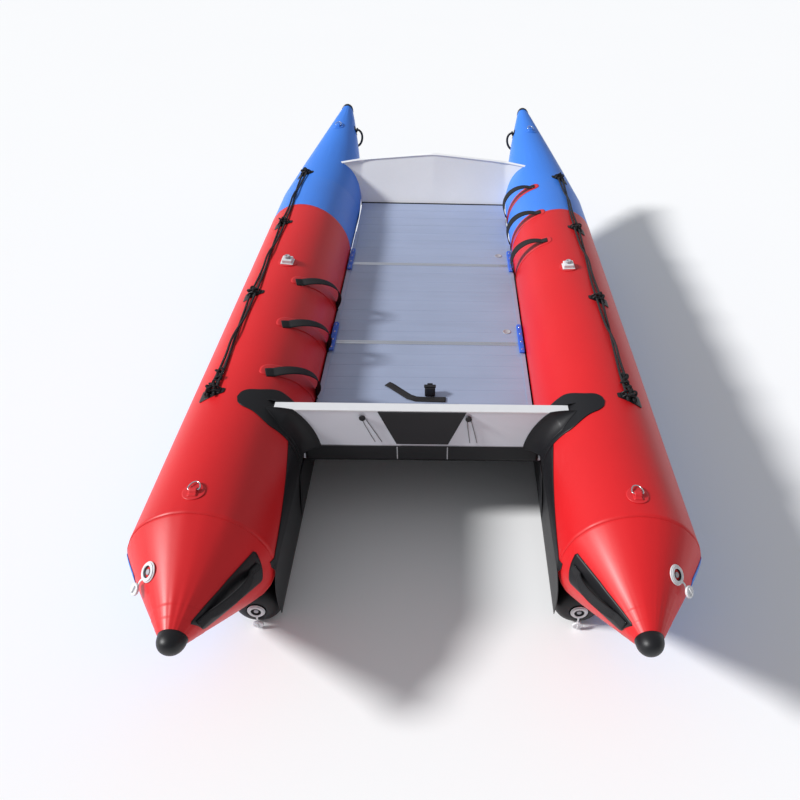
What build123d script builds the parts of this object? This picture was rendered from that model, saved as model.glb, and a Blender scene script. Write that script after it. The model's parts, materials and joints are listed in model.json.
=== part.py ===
# High-speed inflatable catamaran dinghy, built as separate pieces.
# Millimetres. +Y is forward, +X is starboard, +Z is up. The origin is on the ground, below
# the middle of the boat's plan.
from build123d import *
import math
import os

os.makedirs("parts", exist_ok=True)

# Driving dimensions
boat_length = 4300.0
tube_r = 242.0  # inflated sponson radius
tube_x = 720.0  # sponson axis from the centre line
tube_z = 400.0  # sponson axis above the ground
fabric = 2.0  # coated fabric thickness
gap = 0.5  # space left between glued pieces

half = boat_length / 2
stern_tip_x = 702.0
stern_tip_z = 482.0
stern_tip_r = 5.0
bow_tip_x = 629.0
bow_tip_z = 762.0
bow_tip_r = 28.0
stern_seam_y = 400.0 - half  # where the stern cone starts
bow_seam_y = 2830.0 - half  # where the bow colour starts
bow_seam_turn = 14.0  # the bow seam is cut on a slant, seen from above
bow_rise_y = 3250.0 - half  # where the bow starts to rise and taper
bow_taper = 1.5  # powers of the bow's taper, its rise and its turn inboard
bow_rise = 1.35
bow_turn = 0.95
stern_taper = 1.06
stern_cap_length = 58.0
bow_cap_length = 34.0

runner_r = 91.0
runner_x = 592.0
runner_end_y = 440.0 - half
runner_front_y = 3350.0 - half
runner_taper = 600.0

transom_y = 981.0 - half  # aft face of the board
transom_t = 45.0
transom_top = 600.0
transom_low = 352.0
holder_t = 4.0
holder_wall = 26.0

floor_z = 383.0
floor_half = 470.0
floor_plate = 2.5
floor_rib = 22.0
floor_rear_y = transom_y + transom_t + 6
floor_joint_ys = (1790.0 - half, 2612.0 - half)
floor_kink_y = 3030.0 - half
floor_front_y = 3430.0 - half
floor_front_rise = 22.0
tunnel_z = 349.0

dodger_top_y = 3560.0 - half
dodger_peak_z = 702.0
dodger_slope = 5.6  # degrees each side falls from the peak
dodger_t = 4.0
dodger_half = 645.0

lifeline_ys = (1047.0 - half, 1815.0 - half, 2598.0 - half, 3333.0 - half)
lifeline_angle = 21.0
rope_r = 5.0

valve_r = 32.0
valve_bore = 18.0
valve_barrel_r = 23.0
valve_travel = 5.0

sides = (("port", -1), ("starboard", 1))


# The sponson's shape
def section(y):
    """Axis x, axis z and radius of a sponson at station y."""
    if y > bow_rise_y:
        s = (y - bow_rise_y) / (half - bow_rise_y)
        r = tube_r - (tube_r - bow_tip_r) * s**bow_taper
        top = tube_z + tube_r + (bow_tip_z + bow_tip_r - tube_z - tube_r) * s**bow_rise
        return tube_x - (tube_x - bow_tip_x) * s**bow_turn, top - r, r
    if y < stern_seam_y:
        s = (stern_seam_y - y) / (stern_seam_y + half)
        r = tube_r - (tube_r - stern_tip_r) * s**stern_taper
        z = tube_z + (stern_tip_z - tube_z) * s
        return tube_x - (tube_x - stern_tip_x) * s, z, r
    return tube_x, tube_z, tube_r


def skin_point(sign, y, angle, lift=0.0):
    """Point on the sponson: angle in degrees from its top, positive outboard."""
    x, z, r = section(y)
    a = math.radians(angle)
    return Vector(sign * (x + (r + lift) * math.sin(a)), y, z + (r + lift) * math.cos(a))


def skin_plane(sign, y, angle, lift=0.0):
    """Plane lying on the sponson: z outwards, x forward along the skin."""
    here = skin_point(sign, y, angle, lift)
    ahead = skin_point(sign, y + 1, angle, lift) - skin_point(sign, y - 1, angle, lift)
    around = skin_point(sign, y, angle + 1, lift) - skin_point(sign, y, angle - 1, lift)
    out = around.cross(ahead) if sign > 0 else ahead.cross(around)
    return Plane(origin=here, x_dir=ahead, z_dir=out)


def rings(sign, y0, y1, shrink, count):
    """Round sections of a sponson from y0 to y1, to loft through."""
    found = []
    for i in range(count + 1):
        y = y0 + (y1 - y0) * i / count
        x, z, r = section(y)
        with BuildSketch(Plane(origin=(sign * x, y, z), x_dir=(1, 0, 0), z_dir=(0, 1, 0))) as ring:
            Circle(r - shrink)
        found.append(ring.sketch.face())
    return found


def cross_plane(y):
    """Plane across the boat at station y: local x to starboard, local y up, facing aft."""
    return Plane(origin=(0, y, 0), x_dir=(1, 0, 0), z_dir=(0, -1, 0))


def band(sign, y, low, high, a0, a1):
    """Curved strip on the sponson at station y, between two heights and two angles."""
    x, z, r = section(y)

    def at(radius, angle):
        a = math.radians(angle)
        return sign * (x + radius * math.sin(a)), z + radius * math.cos(a)

    with BuildSketch(cross_plane(y)) as strip:
        with BuildLine():
            ThreePointArc(at(r + high, a0), at(r + high, (a0 + a1) / 2), at(r + high, a1))
            Line(at(r + high, a1), at(r + low, a1))
            ThreePointArc(at(r + low, a1), at(r + low, (a0 + a1) / 2), at(r + low, a0))
            Line(at(r + low, a0), at(r + high, a0))
        make_face()
    return strip.sketch.face()


def pad(sign, y0, y1, low, high, a0, a1, count=1):
    """Sections of a pad that follows the sponson from y0 to y1, to loft through."""
    return [band(sign, y0 + (y1 - y0) * i / count, low, high, a0, a1) for i in range(count + 1)]


def side_plane(plane):
    """Plane standing on another: the same x, with y along the first one's normal."""
    return Plane(origin=plane.origin, x_dir=plane.x_dir, z_dir=plane.y_dir * -1)


def save(part, label):
    part.label = label
    export_step(part, "parts/" + label + ".step")


def save_group(solids, label):
    group = Compound(children=solids, label=label)
    export_step(group, "parts/" + label + ".step")


def arch(foot0, foot1, rise, thick):
    """Face of a strap that springs from one foot to the other, in the plane being sketched."""
    mid = (foot0[0] + foot1[0]) / 2
    with BuildSketch() as strap:
        with BuildLine():
            ThreePointArc(foot0, (mid, rise), foot1)
            Line(foot1, (foot1[0] - thick, foot1[1]))
            ThreePointArc((foot1[0] - thick, foot1[1]), (mid, rise - thick), (foot0[0] + thick, foot0[1]))
            Line((foot0[0] + thick, foot0[1]), foot0)
        make_face()
    return strap.sketch


# Valve places: station, angle on the sponson; the runner valves face aft on its domed end
stern_valve_y = 240.0 - half
stern_valve_angle = 42.0


def stern_valve_plane(sign):
    return skin_plane(sign, stern_valve_y, stern_valve_angle)


def runner_valve_plane(sign):
    return Plane(origin=(sign * runner_x, runner_end_y, runner_r), x_dir=(1, 0, 0), z_dir=(0, -1, 0))


# Sponson fabric: main tubes, bow cones, stern cones
def seam_plane(sign):
    turn = math.radians(bow_seam_turn)
    return Plane(
        origin=(sign * tube_x, bow_seam_y, tube_z),
        x_dir=(math.cos(turn), sign * math.sin(turn), 0),
        z_dir=(-sign * math.sin(turn), math.cos(turn), 0),
    )


for side, sign in sides:
    axis_plane = Plane(origin=(sign * tube_x, 0, tube_z), x_dir=(1, 0, 0), z_dir=(0, 1, 0))
    with BuildPart() as main_tube:
        with BuildSketch(axis_plane.offset(stern_seam_y)):
            Circle(tube_r)
            Circle(tube_r - fabric, mode=Mode.SUBTRACT)
        extrude(amount=bow_seam_y - stern_seam_y + 200)
        split(bisect_by=seam_plane(sign), keep=Keep.BOTTOM)
    save(main_tube.part, side + "_main_tube")

    with BuildPart() as bow_cone:
        with BuildSketch(axis_plane.offset(bow_seam_y - 200)):
            Circle(tube_r)
        extrude(amount=bow_rise_y - bow_seam_y + 200)
        loft(rings(sign, bow_rise_y, half - bow_cap_length, 0, 7))
        with BuildPart(mode=Mode.SUBTRACT):
            with BuildSketch(axis_plane.offset(bow_seam_y - 201)):
                Circle(tube_r - fabric)
            extrude(amount=bow_rise_y - bow_seam_y + 201)
            loft(rings(sign, bow_rise_y, half - bow_cap_length - fabric, fabric, 7))
        split(bisect_by=seam_plane(sign).offset(gap), keep=Keep.TOP)
    save(bow_cone.part, side + "_bow_cone")

    with BuildPart() as stern_cone:
        loft(rings(sign, stern_seam_y - gap, stern_cap_length - half, 0, 5))
        with BuildPart(mode=Mode.SUBTRACT):
            loft(rings(sign, stern_seam_y, stern_cap_length - half + fabric, fabric, 5))
        with BuildSketch(stern_valve_plane(sign).offset(-30)):
            Circle(valve_barrel_r + gap)
        extrude(amount=60, mode=Mode.SUBTRACT)
    save(stern_cone.part, side + "_stern_cone")

# Domed walls that divide each sponson into air chambers
baffles = []
for side, sign in sides:
    for baffle_y in (1500.0 - half, 2700.0 - half):
        dome = 60.0
        inner = tube_r - fabric - gap
        with BuildPart() as baffle:
            middle = (sign * tube_x, baffle_y, tube_z)
            with BuildSketch(Plane(origin=middle, x_dir=(1, 0, 0), z_dir=(0, 0, 1))):
                with BuildLine():
                    outer_arc = ThreePointArc((0, dome), (inner * 0.6, dome * 0.66), (inner, 0))
                    inner_arc = ThreePointArc((0, dome - 2), (inner * 0.6, dome * 0.66 - 2.2), (inner, -2))
                    Line(outer_arc @ 0, inner_arc @ 0)
                    Line(outer_arc @ 1, inner_arc @ 1)
                make_face()
            revolve(axis=Axis(middle, (0, 1, 0)))
        baffles.append(baffle.part)
save_group(baffles, "chamber_baffles")

# Moulded rubber tip caps: a dome over each tip
cap_skirt = 2.0
cap_dome = ((1.0, 1.0), (0.45, 0.86), (0.0, 0.4))
caps = []
for side, sign in sides:
    for end_y, inward, length, r_end in (
        (-half, 1, stern_cap_length, stern_tip_r),
        (half, -1, bow_cap_length, bow_tip_r),
    ):
        skirt = section(end_y + inward * length)[2] + cap_skirt
        with BuildPart() as tip_cap:
            for share, shrink in cap_dome:
                y = end_y + inward * max(length * share - gap, 0)
                x, z, r = section(y)
                with BuildSketch(Plane(origin=(sign * x, y, z), x_dir=(1, 0, 0), z_dir=(0, 1, 0))):
                    Circle(skirt * shrink)
            loft()
        caps.append(tip_cap.part)
save_group(caps, "tip_caps")

# Runners: the small air tubes under the sponsons that the boat stands on
def runner_rings(sign, shrink):
    """Sections of a runner's front end, which tapers up against the sponson."""
    found = []
    for i in range(5):
        s = i / 4
        r = runner_r - (runner_r - 34) * s**1.6
        y = runner_front_y - runner_taper + (runner_taper - shrink) * s
        with BuildSketch(Plane(origin=(sign * runner_x, y, 2 * runner_r - r - s),
                               x_dir=(1, 0, 0), z_dir=(0, 1, 0))) as ring:
            Circle(r - shrink)
        found.append(ring.sketch.face())
    return found


for side, sign in sides:
    with BuildPart() as runner:
        straight = runner_front_y - runner_taper
        with BuildSketch(Plane(origin=(sign * runner_x, 0, runner_r), x_dir=(1, 0, 0), z_dir=(0, 0, 1))):
            with BuildLine():
                Line((0, runner_end_y), (valve_r + 6, runner_end_y))
                ThreePointArc((valve_r + 6, runner_end_y), (runner_r * 0.83, runner_end_y + 18),
                              (runner_r, runner_end_y + 52))
                Line((runner_r, runner_end_y + 52), (runner_r, straight))
                Line((runner_r, straight), (0, straight))
                Line((0, straight), (0, runner_end_y))
            make_face()
        revolve(axis=Axis((sign * runner_x, 0, runner_r), (0, 1, 0)))
        loft(runner_rings(sign, 0))
        with BuildPart(mode=Mode.SUBTRACT):
            with BuildSketch(Plane(origin=(sign * runner_x, runner_end_y + 60, runner_r),
                                   x_dir=(1, 0, 0), z_dir=(0, 1, 0))):
                Circle(runner_r - fabric)
            extrude(amount=straight - runner_end_y - 60)
            loft(runner_rings(sign, fabric))
        with BuildSketch(runner_valve_plane(sign).offset(-61)):
            Circle(valve_barrel_r + gap)
        extrude(amount=62, mode=Mode.SUBTRACT)
    save(runner.part, side + "_runner")

# Skins: black on the inner side from sponson to runner, blue under the outer side
skin_low = 0.5
skin_high = 3.0
inner_skins = []
bottom_skins = []
for side, sign in sides:
    near = tube_x - tube_r - skin_high - 0.6
    by_runner = runner_x - runner_r - skin_high
    aft_y = 380.0 - half
    holder_aft = transom_y - 88
    under_floor = tunnel_z - 6
    with BuildPart() as inner_skin:
        with BuildSketch(cross_plane(aft_y)):
            add(cross_plane(aft_y).to_local_coords(band(sign, 0, skin_low, skin_high, -62, -90.5)))
            Polygon(
                (sign * near, tube_z),
                (sign * (near + 2.5), tube_z),
                (sign * (by_runner + 2.5), runner_r),
                (sign * by_runner, runner_r),
                align=None,
            )
        extrude(amount=aft_y - holder_aft)
        slope = (by_runner - near) / (tube_z - runner_r)
        top_x = near + slope * (tube_z - under_floor)
        with BuildSketch(cross_plane(holder_aft)):
            Polygon(
                (sign * top_x, under_floor),
                (sign * (top_x + 2.5), under_floor),
                (sign * (by_runner + 2.5), runner_r),
                (sign * by_runner, runner_r),
                align=None,
            )
        extrude(amount=holder_aft - (runner_front_y - runner_taper))
    inner_skins.append(inner_skin.part)

    with BuildPart() as bottom_skin:
        with BuildSketch(cross_plane(300.0 - half)):
            add(cross_plane(0).to_local_coords(band(sign, 0, skin_low, skin_high, 80, 185)))
        extrude(amount=300.0 - half - bow_rise_y)
    bottom_skins.append(bottom_skin.part)
save_group(inner_skins, "inner_skins")
save_group(bottom_skins, "bottom_skins")

# Transom: board, holders that glue it to the sponsons, motor pads, lower flap
board_edge = tube_r + holder_t + 1
corner = 22.0
with BuildPart() as plank:
    with BuildSketch(cross_plane(transom_y)):
        with Locations((0, (transom_top + transom_low) / 2)):
            Rectangle(2 * tube_x, transom_top - transom_low)
        for side, sign in sides:
            with Locations((sign * tube_x, tube_z)):
                Circle(board_edge, mode=Mode.SUBTRACT)
    extrude(amount=-transom_t)
board_reach = tube_x - math.sqrt(board_edge**2 - (transom_top - tube_z) ** 2)
with BuildPart() as transom_board:
    add(plank.solids().sort_by(SortBy.VOLUME)[-1])
    with BuildSketch(cross_plane(transom_y + transom_t)):
        for side, sign in sides:
            Polygon(
                (sign * (board_reach + 2), transom_top + 2),
                (sign * (board_reach - corner), transom_top + 2),
                (sign * (board_reach + 2), transom_top - corner),
                align=None,
            )
    extrude(amount=transom_t, mode=Mode.SUBTRACT)
save(transom_board.part, "transom_board")

holders = []
for side, sign in sides:
    with BuildPart() as holder:
        with BuildSketch(cross_plane(transom_y - 86)):
            add(cross_plane(0).to_local_coords(band(sign, 0, gap, holder_t, -4, -100)))
        extrude(amount=-(2 * 86 + transom_t))
        for wall_y in (transom_y - gap - 13, transom_y + transom_t + gap):
            with BuildSketch(cross_plane(wall_y)):
                add(cross_plane(0).to_local_coords(band(sign, 0, holder_t - 1, holder_wall, -38, -82)))
            extrude(amount=-13)
    holders.append(holder.part)
save_group(holders, "transom_holders")

pad_top = transom_top - 3
with BuildPart() as outer_motor_pad:
    with BuildSketch(cross_plane(transom_y - gap)):
        Polygon((-170, pad_top), (170, pad_top), (102, 438), (-102, 438), align=None)
    extrude(amount=8)
    fillet(outer_motor_pad.edges().filter_by(Axis.Y), radius=9)
save(outer_motor_pad.part, "outer_motor_pad")

with BuildPart() as inner_motor_pad:
    with BuildSketch(cross_plane(transom_y + transom_t + gap)):
        with Locations((0, 548)):
            Rectangle(290, 98)
    extrude(amount=-8)
    fillet(inner_motor_pad.edges().filter_by(Axis.Y), radius=9)
save(inner_motor_pad.part, "inner_motor_pad")

with BuildPart() as transom_flap:
    with BuildSketch(cross_plane(transom_y - gap)):
        with Locations((0, 389)):
            Rectangle(932, 70)
    extrude(amount=3)
save(transom_flap.part, "transom_flap")

# Drain cords: each loops from two holes in the transom round a small hook on its aft face
drain_z = 447.0
hook_z = 572.0
cord_y = transom_y - 5.0
drains = {"port": (-186.0, -159.0, -230.0), "starboard": (188.0, 216.0, 180.0)}
cords = []
hooks = []
for side, sign in sides:
    hole_a, hole_b, hook_x = drains[side]
    with BuildPart() as drain_cord:
        with BuildLine():
            FilletPolyline(
                (hole_a, cord_y, drain_z),
                (hook_x - 9, cord_y, hook_z - 2),
                (hook_x - 1, cord_y, hook_z + 10),
                (hook_x + 9, cord_y, hook_z - 1),
                (hole_b, cord_y, drain_z),
                radius=[5.0, 6.0, 5.0],
            )
        start = Vector(hole_a, cord_y, drain_z)
        along = Vector(hook_x - 9 - hole_a, 0, hook_z - 2 - drain_z)
        with BuildSketch(Plane(origin=start, z_dir=along)):
            Circle(1.5)
        sweep()
    cords.append(drain_cord.part)
    with BuildPart() as hook:
        with BuildSketch(cross_plane(transom_y - gap)):
            with Locations((hook_x, hook_z - 2)):
                Circle(4)
        extrude(amount=9)
        with BuildSketch(cross_plane(transom_y - gap - 7.5)):
            with Locations((hook_x, hook_z - 2)):
                Circle(13)
        extrude(amount=5)
    hooks.append(hook.part)
save_group(cords, "drain_cords")
save_group(hooks, "drain_cord_hooks")

# Floor: three ribbed aluminium panels, joint profiles, side stringers, clips, hole plugs
panel_half = floor_half - 4
joint_play = 2.5


def panel_ribs(rear, front, pitch):
    count = int((front - rear) // pitch)
    return [rear + (front - rear) * (i + 0.5) / count for i in range(count)]


panel_ends = (
    ("floor_rear_panel", floor_rear_y, floor_joint_ys[0] - joint_play),
    ("floor_middle_panel", floor_joint_ys[0] + joint_play, floor_joint_ys[1] - joint_play),
    ("floor_front_panel", floor_joint_ys[1] + joint_play, floor_kink_y),
)
beam_plane = Plane(origin=(-panel_half, 0, 0), x_dir=(0, 1, 0), z_dir=(1, 0, 0))
for name, rear, front in panel_ends:
    with BuildPart() as panel:
        with BuildSketch(beam_plane):
            with Locations(((rear + front) / 2, floor_z - floor_plate / 2)):
                Rectangle(front - rear, floor_plate)
            for rib_y in panel_ribs(rear, front, 100):
                with Locations((rib_y, floor_z - floor_plate - floor_rib / 2)):
                    Rectangle(3, floor_rib + 1)
            if name == "floor_front_panel":
                Polygon(
                    (front, floor_z),
                    (floor_front_y, floor_z + floor_front_rise),
                    (floor_front_y, floor_z + floor_front_rise - floor_plate),
                    (front, floor_z - floor_plate),
                    align=None,
                )
        extrude(amount=2 * panel_half)
    save(panel.part, name)

profiles = []
for joint_y in floor_joint_ys:
    with BuildPart() as profile:
        with BuildSketch(Plane(origin=(-panel_half, 0, 0), x_dir=(0, 1, 0), z_dir=(1, 0, 0))):
            with Locations((joint_y, floor_z + 1.2)):
                Rectangle(30, 1.8)
            with Locations((joint_y, floor_z - 10)):
                Rectangle(3, 24)
        extrude(amount=2 * panel_half)
    profiles.append(profile.part)
save_group(profiles, "floor_joint_profiles")

stringers = []
for side, sign in sides:
    with BuildPart() as stringer:
        with BuildSketch(cross_plane(floor_rear_y)):
            with Locations((sign * (floor_half - 1), floor_z - 11)):
                Rectangle(2, 30)
            with Locations((sign * (floor_half - 10), floor_z + 3.3)):
                Rectangle(20, 2)
        extrude(amount=-(floor_kink_y - floor_rear_y))
    stringers.append(stringer.part)
save_group(stringers, "floor_stringers")

clips = []
for side, sign in sides:
    for joint_y in floor_joint_ys:
        with BuildPart() as clip:
            with BuildSketch(Plane(origin=(sign * (floor_half - 13), joint_y + 35, floor_z + 4.8))):
                RectangleRounded(26, 240, 6)
            extrude(amount=10)
            chamfer(clip.faces().sort_by(Axis.Z)[-1].edges(), length=2.5)
        clips.append(clip.part)
save_group(clips, "floor_clips")

plugs = []
for plug_y in (2737.0 - half, 1903.0 - half):
    with BuildPart() as plug:
        with BuildSketch(Plane(origin=(395, plug_y, floor_z + 0.3))):
            Circle(21)
        extrude(amount=2)
    plugs.append(plug.part)
save_group(plugs, "floor_hole_plugs")

# Fabric under the floor, and the bow dodger that closes the cockpit in front
ramp_y = floor_front_y + 66
with BuildPart() as tunnel_fabric:
    with BuildSketch(Plane(origin=(-floor_half, 0, 0), x_dir=(0, 1, 0), z_dir=(1, 0, 0))):
        with Locations(((transom_y + ramp_y) / 2, tunnel_z - 1.5)):
            Rectangle(ramp_y - transom_y, 3)
    extrude(amount=2 * floor_half)
save(tunnel_fabric.part, "tunnel_fabric")

dodger_plane = Plane(origin=(-dodger_half, 0, 0), x_dir=(0, 1, 0), z_dir=(1, 0, 0))
rear_foot = floor_front_y + 6
with BuildPart() as bow_dodger:
    with BuildSketch(dodger_plane):
        Polygon(
            (rear_foot, tunnel_z + 4),
            (rear_foot, floor_z + 20),
            (dodger_top_y, dodger_peak_z),
            (dodger_top_y + 26, dodger_peak_z - 2),
            (ramp_y, tunnel_z + 4),
            align=None,
        )
        Polygon(
            (rear_foot + 4, tunnel_z),
            (rear_foot + 4, floor_z + 19),
            (dodger_top_y + 3, dodger_peak_z - dodger_t - 1),
            (dodger_top_y + 19, dodger_peak_z - dodger_t - 2),
            (ramp_y - 6, tunnel_z),
            align=None, mode=Mode.SUBTRACT,
        )
    extrude(amount=2 * dodger_half)
    for side, sign in sides:
        fall = math.radians(dodger_slope)
        with BuildSketch(Plane(origin=(0, 0, 0), x_dir=(1, 0, 0), z_dir=(0, 1, 0))):
            Polygon(
                (0, -dodger_peak_z),
                (sign * tube_x, -dodger_peak_z + tube_x * math.tan(fall)),
                (sign * tube_x, -dodger_peak_z - 50),
                (0, -dodger_peak_z - 50),
                align=None,
            )
        extrude(amount=half, mode=Mode.SUBTRACT)
        with BuildPart(mode=Mode.SUBTRACT):
            with BuildSketch(Plane(origin=(sign * tube_x, 0, tube_z), x_dir=(1, 0, 0), z_dir=(0, 1, 0))):
                Circle(tube_r + gap + 1)
            extrude(amount=bow_rise_y)
            loft(rings(sign, bow_rise_y, half, -gap - 1, 7))
save(bow_dodger.solids().sort_by(SortBy.VOLUME)[-1], "bow_dodger")

# Fuel tank strap on the floor, and its upright buckle
with BuildPart() as fuel_tank_strap:
    with BuildSketch(Plane(origin=(0, 0, floor_z + 0.4))):
        Polygon(
            (-176, 1452 - half),
            (-146, 1452 - half),
            (-44, 1352 - half),
            (92, 1348 - half),
            (92, 1318 - half),
            (-56, 1322 - half),
            align=None,
        )
    extrude(amount=2.5)
save(fuel_tank_strap.part, "fuel_tank_strap")

with BuildPart() as fuel_tank_buckle:
    with BuildSketch(Plane(origin=(22, 1372 - half, floor_z + 0.4))):
        RectangleRounded(46, 30, 5)
    extrude(amount=52)
    fillet(fuel_tank_buckle.faces().sort_by(Axis.Z)[-1].edges(), radius=4)
save(fuel_tank_buckle.part, "fuel_tank_buckle")

# Life-line patches with a rope slot, and the rope's two strands on each side
patch_half = 31.0
patch_arc = 10.5
patch_t = 3.5
lug_foot = 2.6  # how far the rope lug's feet sink into the patch
patches = []
for side, sign in sides:
    for y in lifeline_ys:
        with BuildPart() as patch:
            loft(pad(sign, y - patch_half, y + patch_half, gap, patch_t,
                     lifeline_angle - patch_arc, lifeline_angle + patch_arc))
            top = skin_plane(sign, y, lifeline_angle, patch_t)
            with BuildSketch(Plane(origin=top.origin, x_dir=top.y_dir, z_dir=top.x_dir * -1)):
                Rectangle(66, 44)
                Rectangle(46, 30, mode=Mode.SUBTRACT)
            extrude(amount=9, both=True)
            with BuildSketch(top.offset(-30)):
                Rectangle(200, 200)
            extrude(amount=30 - lug_foot, mode=Mode.SUBTRACT)
            loft(pad(sign, y - patch_half, y + patch_half, gap, patch_t,
                     lifeline_angle - patch_arc, lifeline_angle + patch_arc))
        patches.append(patch.part)
save_group(patches, "life_line_patches")

# Each strand: station from the stern end, offset across the skin, height over the skin
strand_a = (
    (1018, 13, 11.0), (1082, 14, 10.0), (1198, 11, 7.0), (1315, 7, 9.0), (1390, 3, 20.0),
    (1475, -4, 20.5), (1550, -8, 9.5), (1665, -10, 6.8), (1780, -13, 10.0), (1850, -14, 10.5),
    (1970, -11, 6.9), (2085, -6, 6.7), (2165, -2, 6.9), (2250, 3, 6.7), (2330, 7, 7.0),
    (2447, 11, 6.8), (2563, 13, 10.0), (2633, 14, 10.5), (2745, 10, 7.0), (2855, 6, 9.0),
    (2925, 2, 20.0), (3005, -3, 20.5), (3080, -7, 9.5), (3190, -11, 7.1), (3298, -13, 10.0),
    (3352, -14, 10.5),
)
strand_b = (
    (1012, -14, 10.7), (1082, -13, 10.1), (1195, -12, 6.8), (1312, -6, 6.9), (1392, -2, 6.7),
    (1472, 3, 6.8), (1552, 7, 6.9), (1668, 11, 7.1), (1780, 14, 10.1), (1850, 13, 10.3),
    (1968, 11, 7.1), (2088, 7, 9.0), (2168, 3, 20.4), (2248, -3, 20.2), (2328, -8, 9.2),
    (2450, -11, 7.0), (2563, -14, 10.1), (2633, -13, 10.3), (2748, -11, 6.9), (2858, -7, 6.8),
    (2928, -2, 6.9), (3008, 3, 6.7), (3083, 8, 7.0), (3188, 11, 7.2), (3298, 14, 10.1),
    (3346, 13, 10.5),
)


def rope_route(sign, strand):
    route = []
    for station, across, height in strand:
        y = station - half
        radius = section(y)[2]
        angle = lifeline_angle + math.degrees(across / radius)
        route.append(skin_point(sign, y, angle, height))
    return route


def bend_radii(route):
    radii = []
    for a, b, c in zip(route, route[1:], route[2:]):
        turn = math.radians((b - a).get_angle(c - b))
        radii.append(0.45 * min((b - a).length, (c - b).length) / math.tan(turn / 2))
    return radii


for side, sign in sides:
    strands = []
    for strand in (strand_a, strand_b):
        route = rope_route(sign, strand)
        radii = bend_radii(route)
        with BuildPart() as rope:
            with BuildLine() as line:
                FilletPolyline(*route, radius=radii)
            with BuildSketch(Plane(origin=route[0], z_dir=route[1] - route[0])):
                Circle(rope_r)
            sweep()
        length = sum(edge.length for edge in line.edges())
        print(side, "life line", round(length), "mm, least radius", round(min(radii)),
              "volume ratio", round(rope.part.volume / (length * math.pi * rope_r**2), 4))
        strands.append(rope.part)
    save_group(strands, side + "_life_line")

# Foot straps over red backing patches on the inner sides
strap_w = 40.0
strap_t = 3.0
strap_lift = 8.0
strap_places = {
    "port": ((1197, 1333), (1563, 1700), (1946, 2084)),
    "starboard": ((2448, 2456), (2818, 2824), (3208, 3212)),
}
straps = []
backings = []
for side, sign in sides:
    for top_station, low_station in strap_places[side]:
        top = skin_point(sign, top_station - half, -28, strap_lift)
        low = skin_point(sign, low_station - half, -86, strap_lift)
        chord = low - top
        out = skin_point(sign, (top_station + low_station) / 2 - half, -57, 50) - (top + low) * 0.5
        flat = Plane(origin=(top + low) * 0.5, x_dir=chord, z_dir=chord.cross(out))
        reach = chord.length / 2
        with BuildPart() as strap:
            with BuildSketch(flat):
                add(arch((-reach, 0), (reach, 0), 82, strap_t))
            extrude(amount=strap_w / 2, both=True)
        straps.append(strap.part)
        y0 = top_station - half - 32
        y1 = low_station - half + 32
        with BuildPart() as backing:
            loft(pad(sign, y0, y1, gap, 2.0, -22, -91))
        backings.append(backing.part)
save_group(straps, "foot_straps")
save_group(backings, "strap_patches")

# Carry handles: bow handles stand across the cone, stern handles run along it
bow_handle_y = 4050.0 - half
stern_handle_y = 218.0 - half
stern_handle_angle = -76.0
bow_handles = []
stern_handles = []
handle_pads = []
for side, sign in sides:
    top = skin_point(sign, bow_handle_y, -70, 10)
    low = skin_point(sign, bow_handle_y, -134, 10)
    chord = low - top
    flat = Plane(origin=(top + low) * 0.5, x_dir=chord, z_dir=(0, sign, 0))
    with BuildPart() as bow_handle:
        with BuildSketch(flat):
            add(arch((-chord.length / 2 - 6, 0), (chord.length / 2 + 6, 0), 52, 9))
        extrude(amount=12, both=True)
    bow_handles.append(bow_handle.part)
    for a0, a1 in ((-60, -82), (-122, -144)):
        with BuildPart() as handle_pad:
            loft(pad(sign, bow_handle_y - 28, bow_handle_y + 28, gap, 3.0, a0, a1))
        handle_pads.append(handle_pad.part)

    grip = side_plane(skin_plane(sign, stern_handle_y, stern_handle_angle, 7))
    with BuildPart() as stern_handle:
        with BuildSketch(grip):
            add(arch((-100, 0), (100, 0), 40, 10))
        extrude(amount=14, both=True)
    stern_handles.append(stern_handle.part)
    with BuildPart() as handle_pad:
        loft(pad(sign, stern_handle_y - 110, stern_handle_y + 125, gap, 3.5,
                 stern_handle_angle + 12, stern_handle_angle - 12, 3))
    handle_pads.append(handle_pad.part)
save_group(bow_handles, "bow_handles")
save_group(stern_handles, "stern_handles")
save_group(handle_pads, "handle_patches")

# D-rings: steel ring on a webbing tab; the ring turns on its straight bar
ring_wire = 2.5
ring_half = 19.0
ring_reach = 34.0
ring_height = 9.0
ring_clearance = 0.4
ring_places = (("bow", 3975.0 - half, 4.0), ("stern", 492.0 - half, 2.0))
ring_flank = 18.0
ring_nose = 8.0
ring_corner = 5.0
with BuildPart() as wire_ring:
    with BuildLine():
        FilletPolyline((0, 0), (0, -ring_half), (ring_flank, -ring_half), (ring_reach, -ring_nose),
                       (ring_reach, 0), radius=ring_corner)
    with BuildSketch(Plane(origin=(0, 0, 0), z_dir=(0, -1, 0))):
        Circle(ring_wire)
    sweep()
    mirror(about=Plane.XZ)
tabs = []
for side, sign in sides:
    for end, y, angle in ring_places:
        seat = skin_plane(sign, y, angle)
        ring = seat.offset(ring_height).location * wire_ring.part
        save(ring, side + "_" + end + "_d_ring")
        radius = section(y)[2]
        spread = math.degrees(36 / radius)
        with BuildPart() as tab:
            loft(pad(sign, y - 40, y + 36, gap, 3.0, angle - spread, angle + spread, 2))
            with BuildSketch(side_plane(seat).offset(-14)):
                Polygon((-26, 1.5), (-24, 6), (-6, 14), (4, 14), (6, 10), (5, 1.5), align=None)
            extrude(amount=28)
            with BuildSketch(side_plane(seat).offset(-30)):
                with Locations((0, ring_height)):
                    Circle(ring_wire + ring_clearance)
            extrude(amount=60, mode=Mode.SUBTRACT)
        tabs.append(tab.part)
save_group(tabs, "d_ring_tabs")

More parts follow.
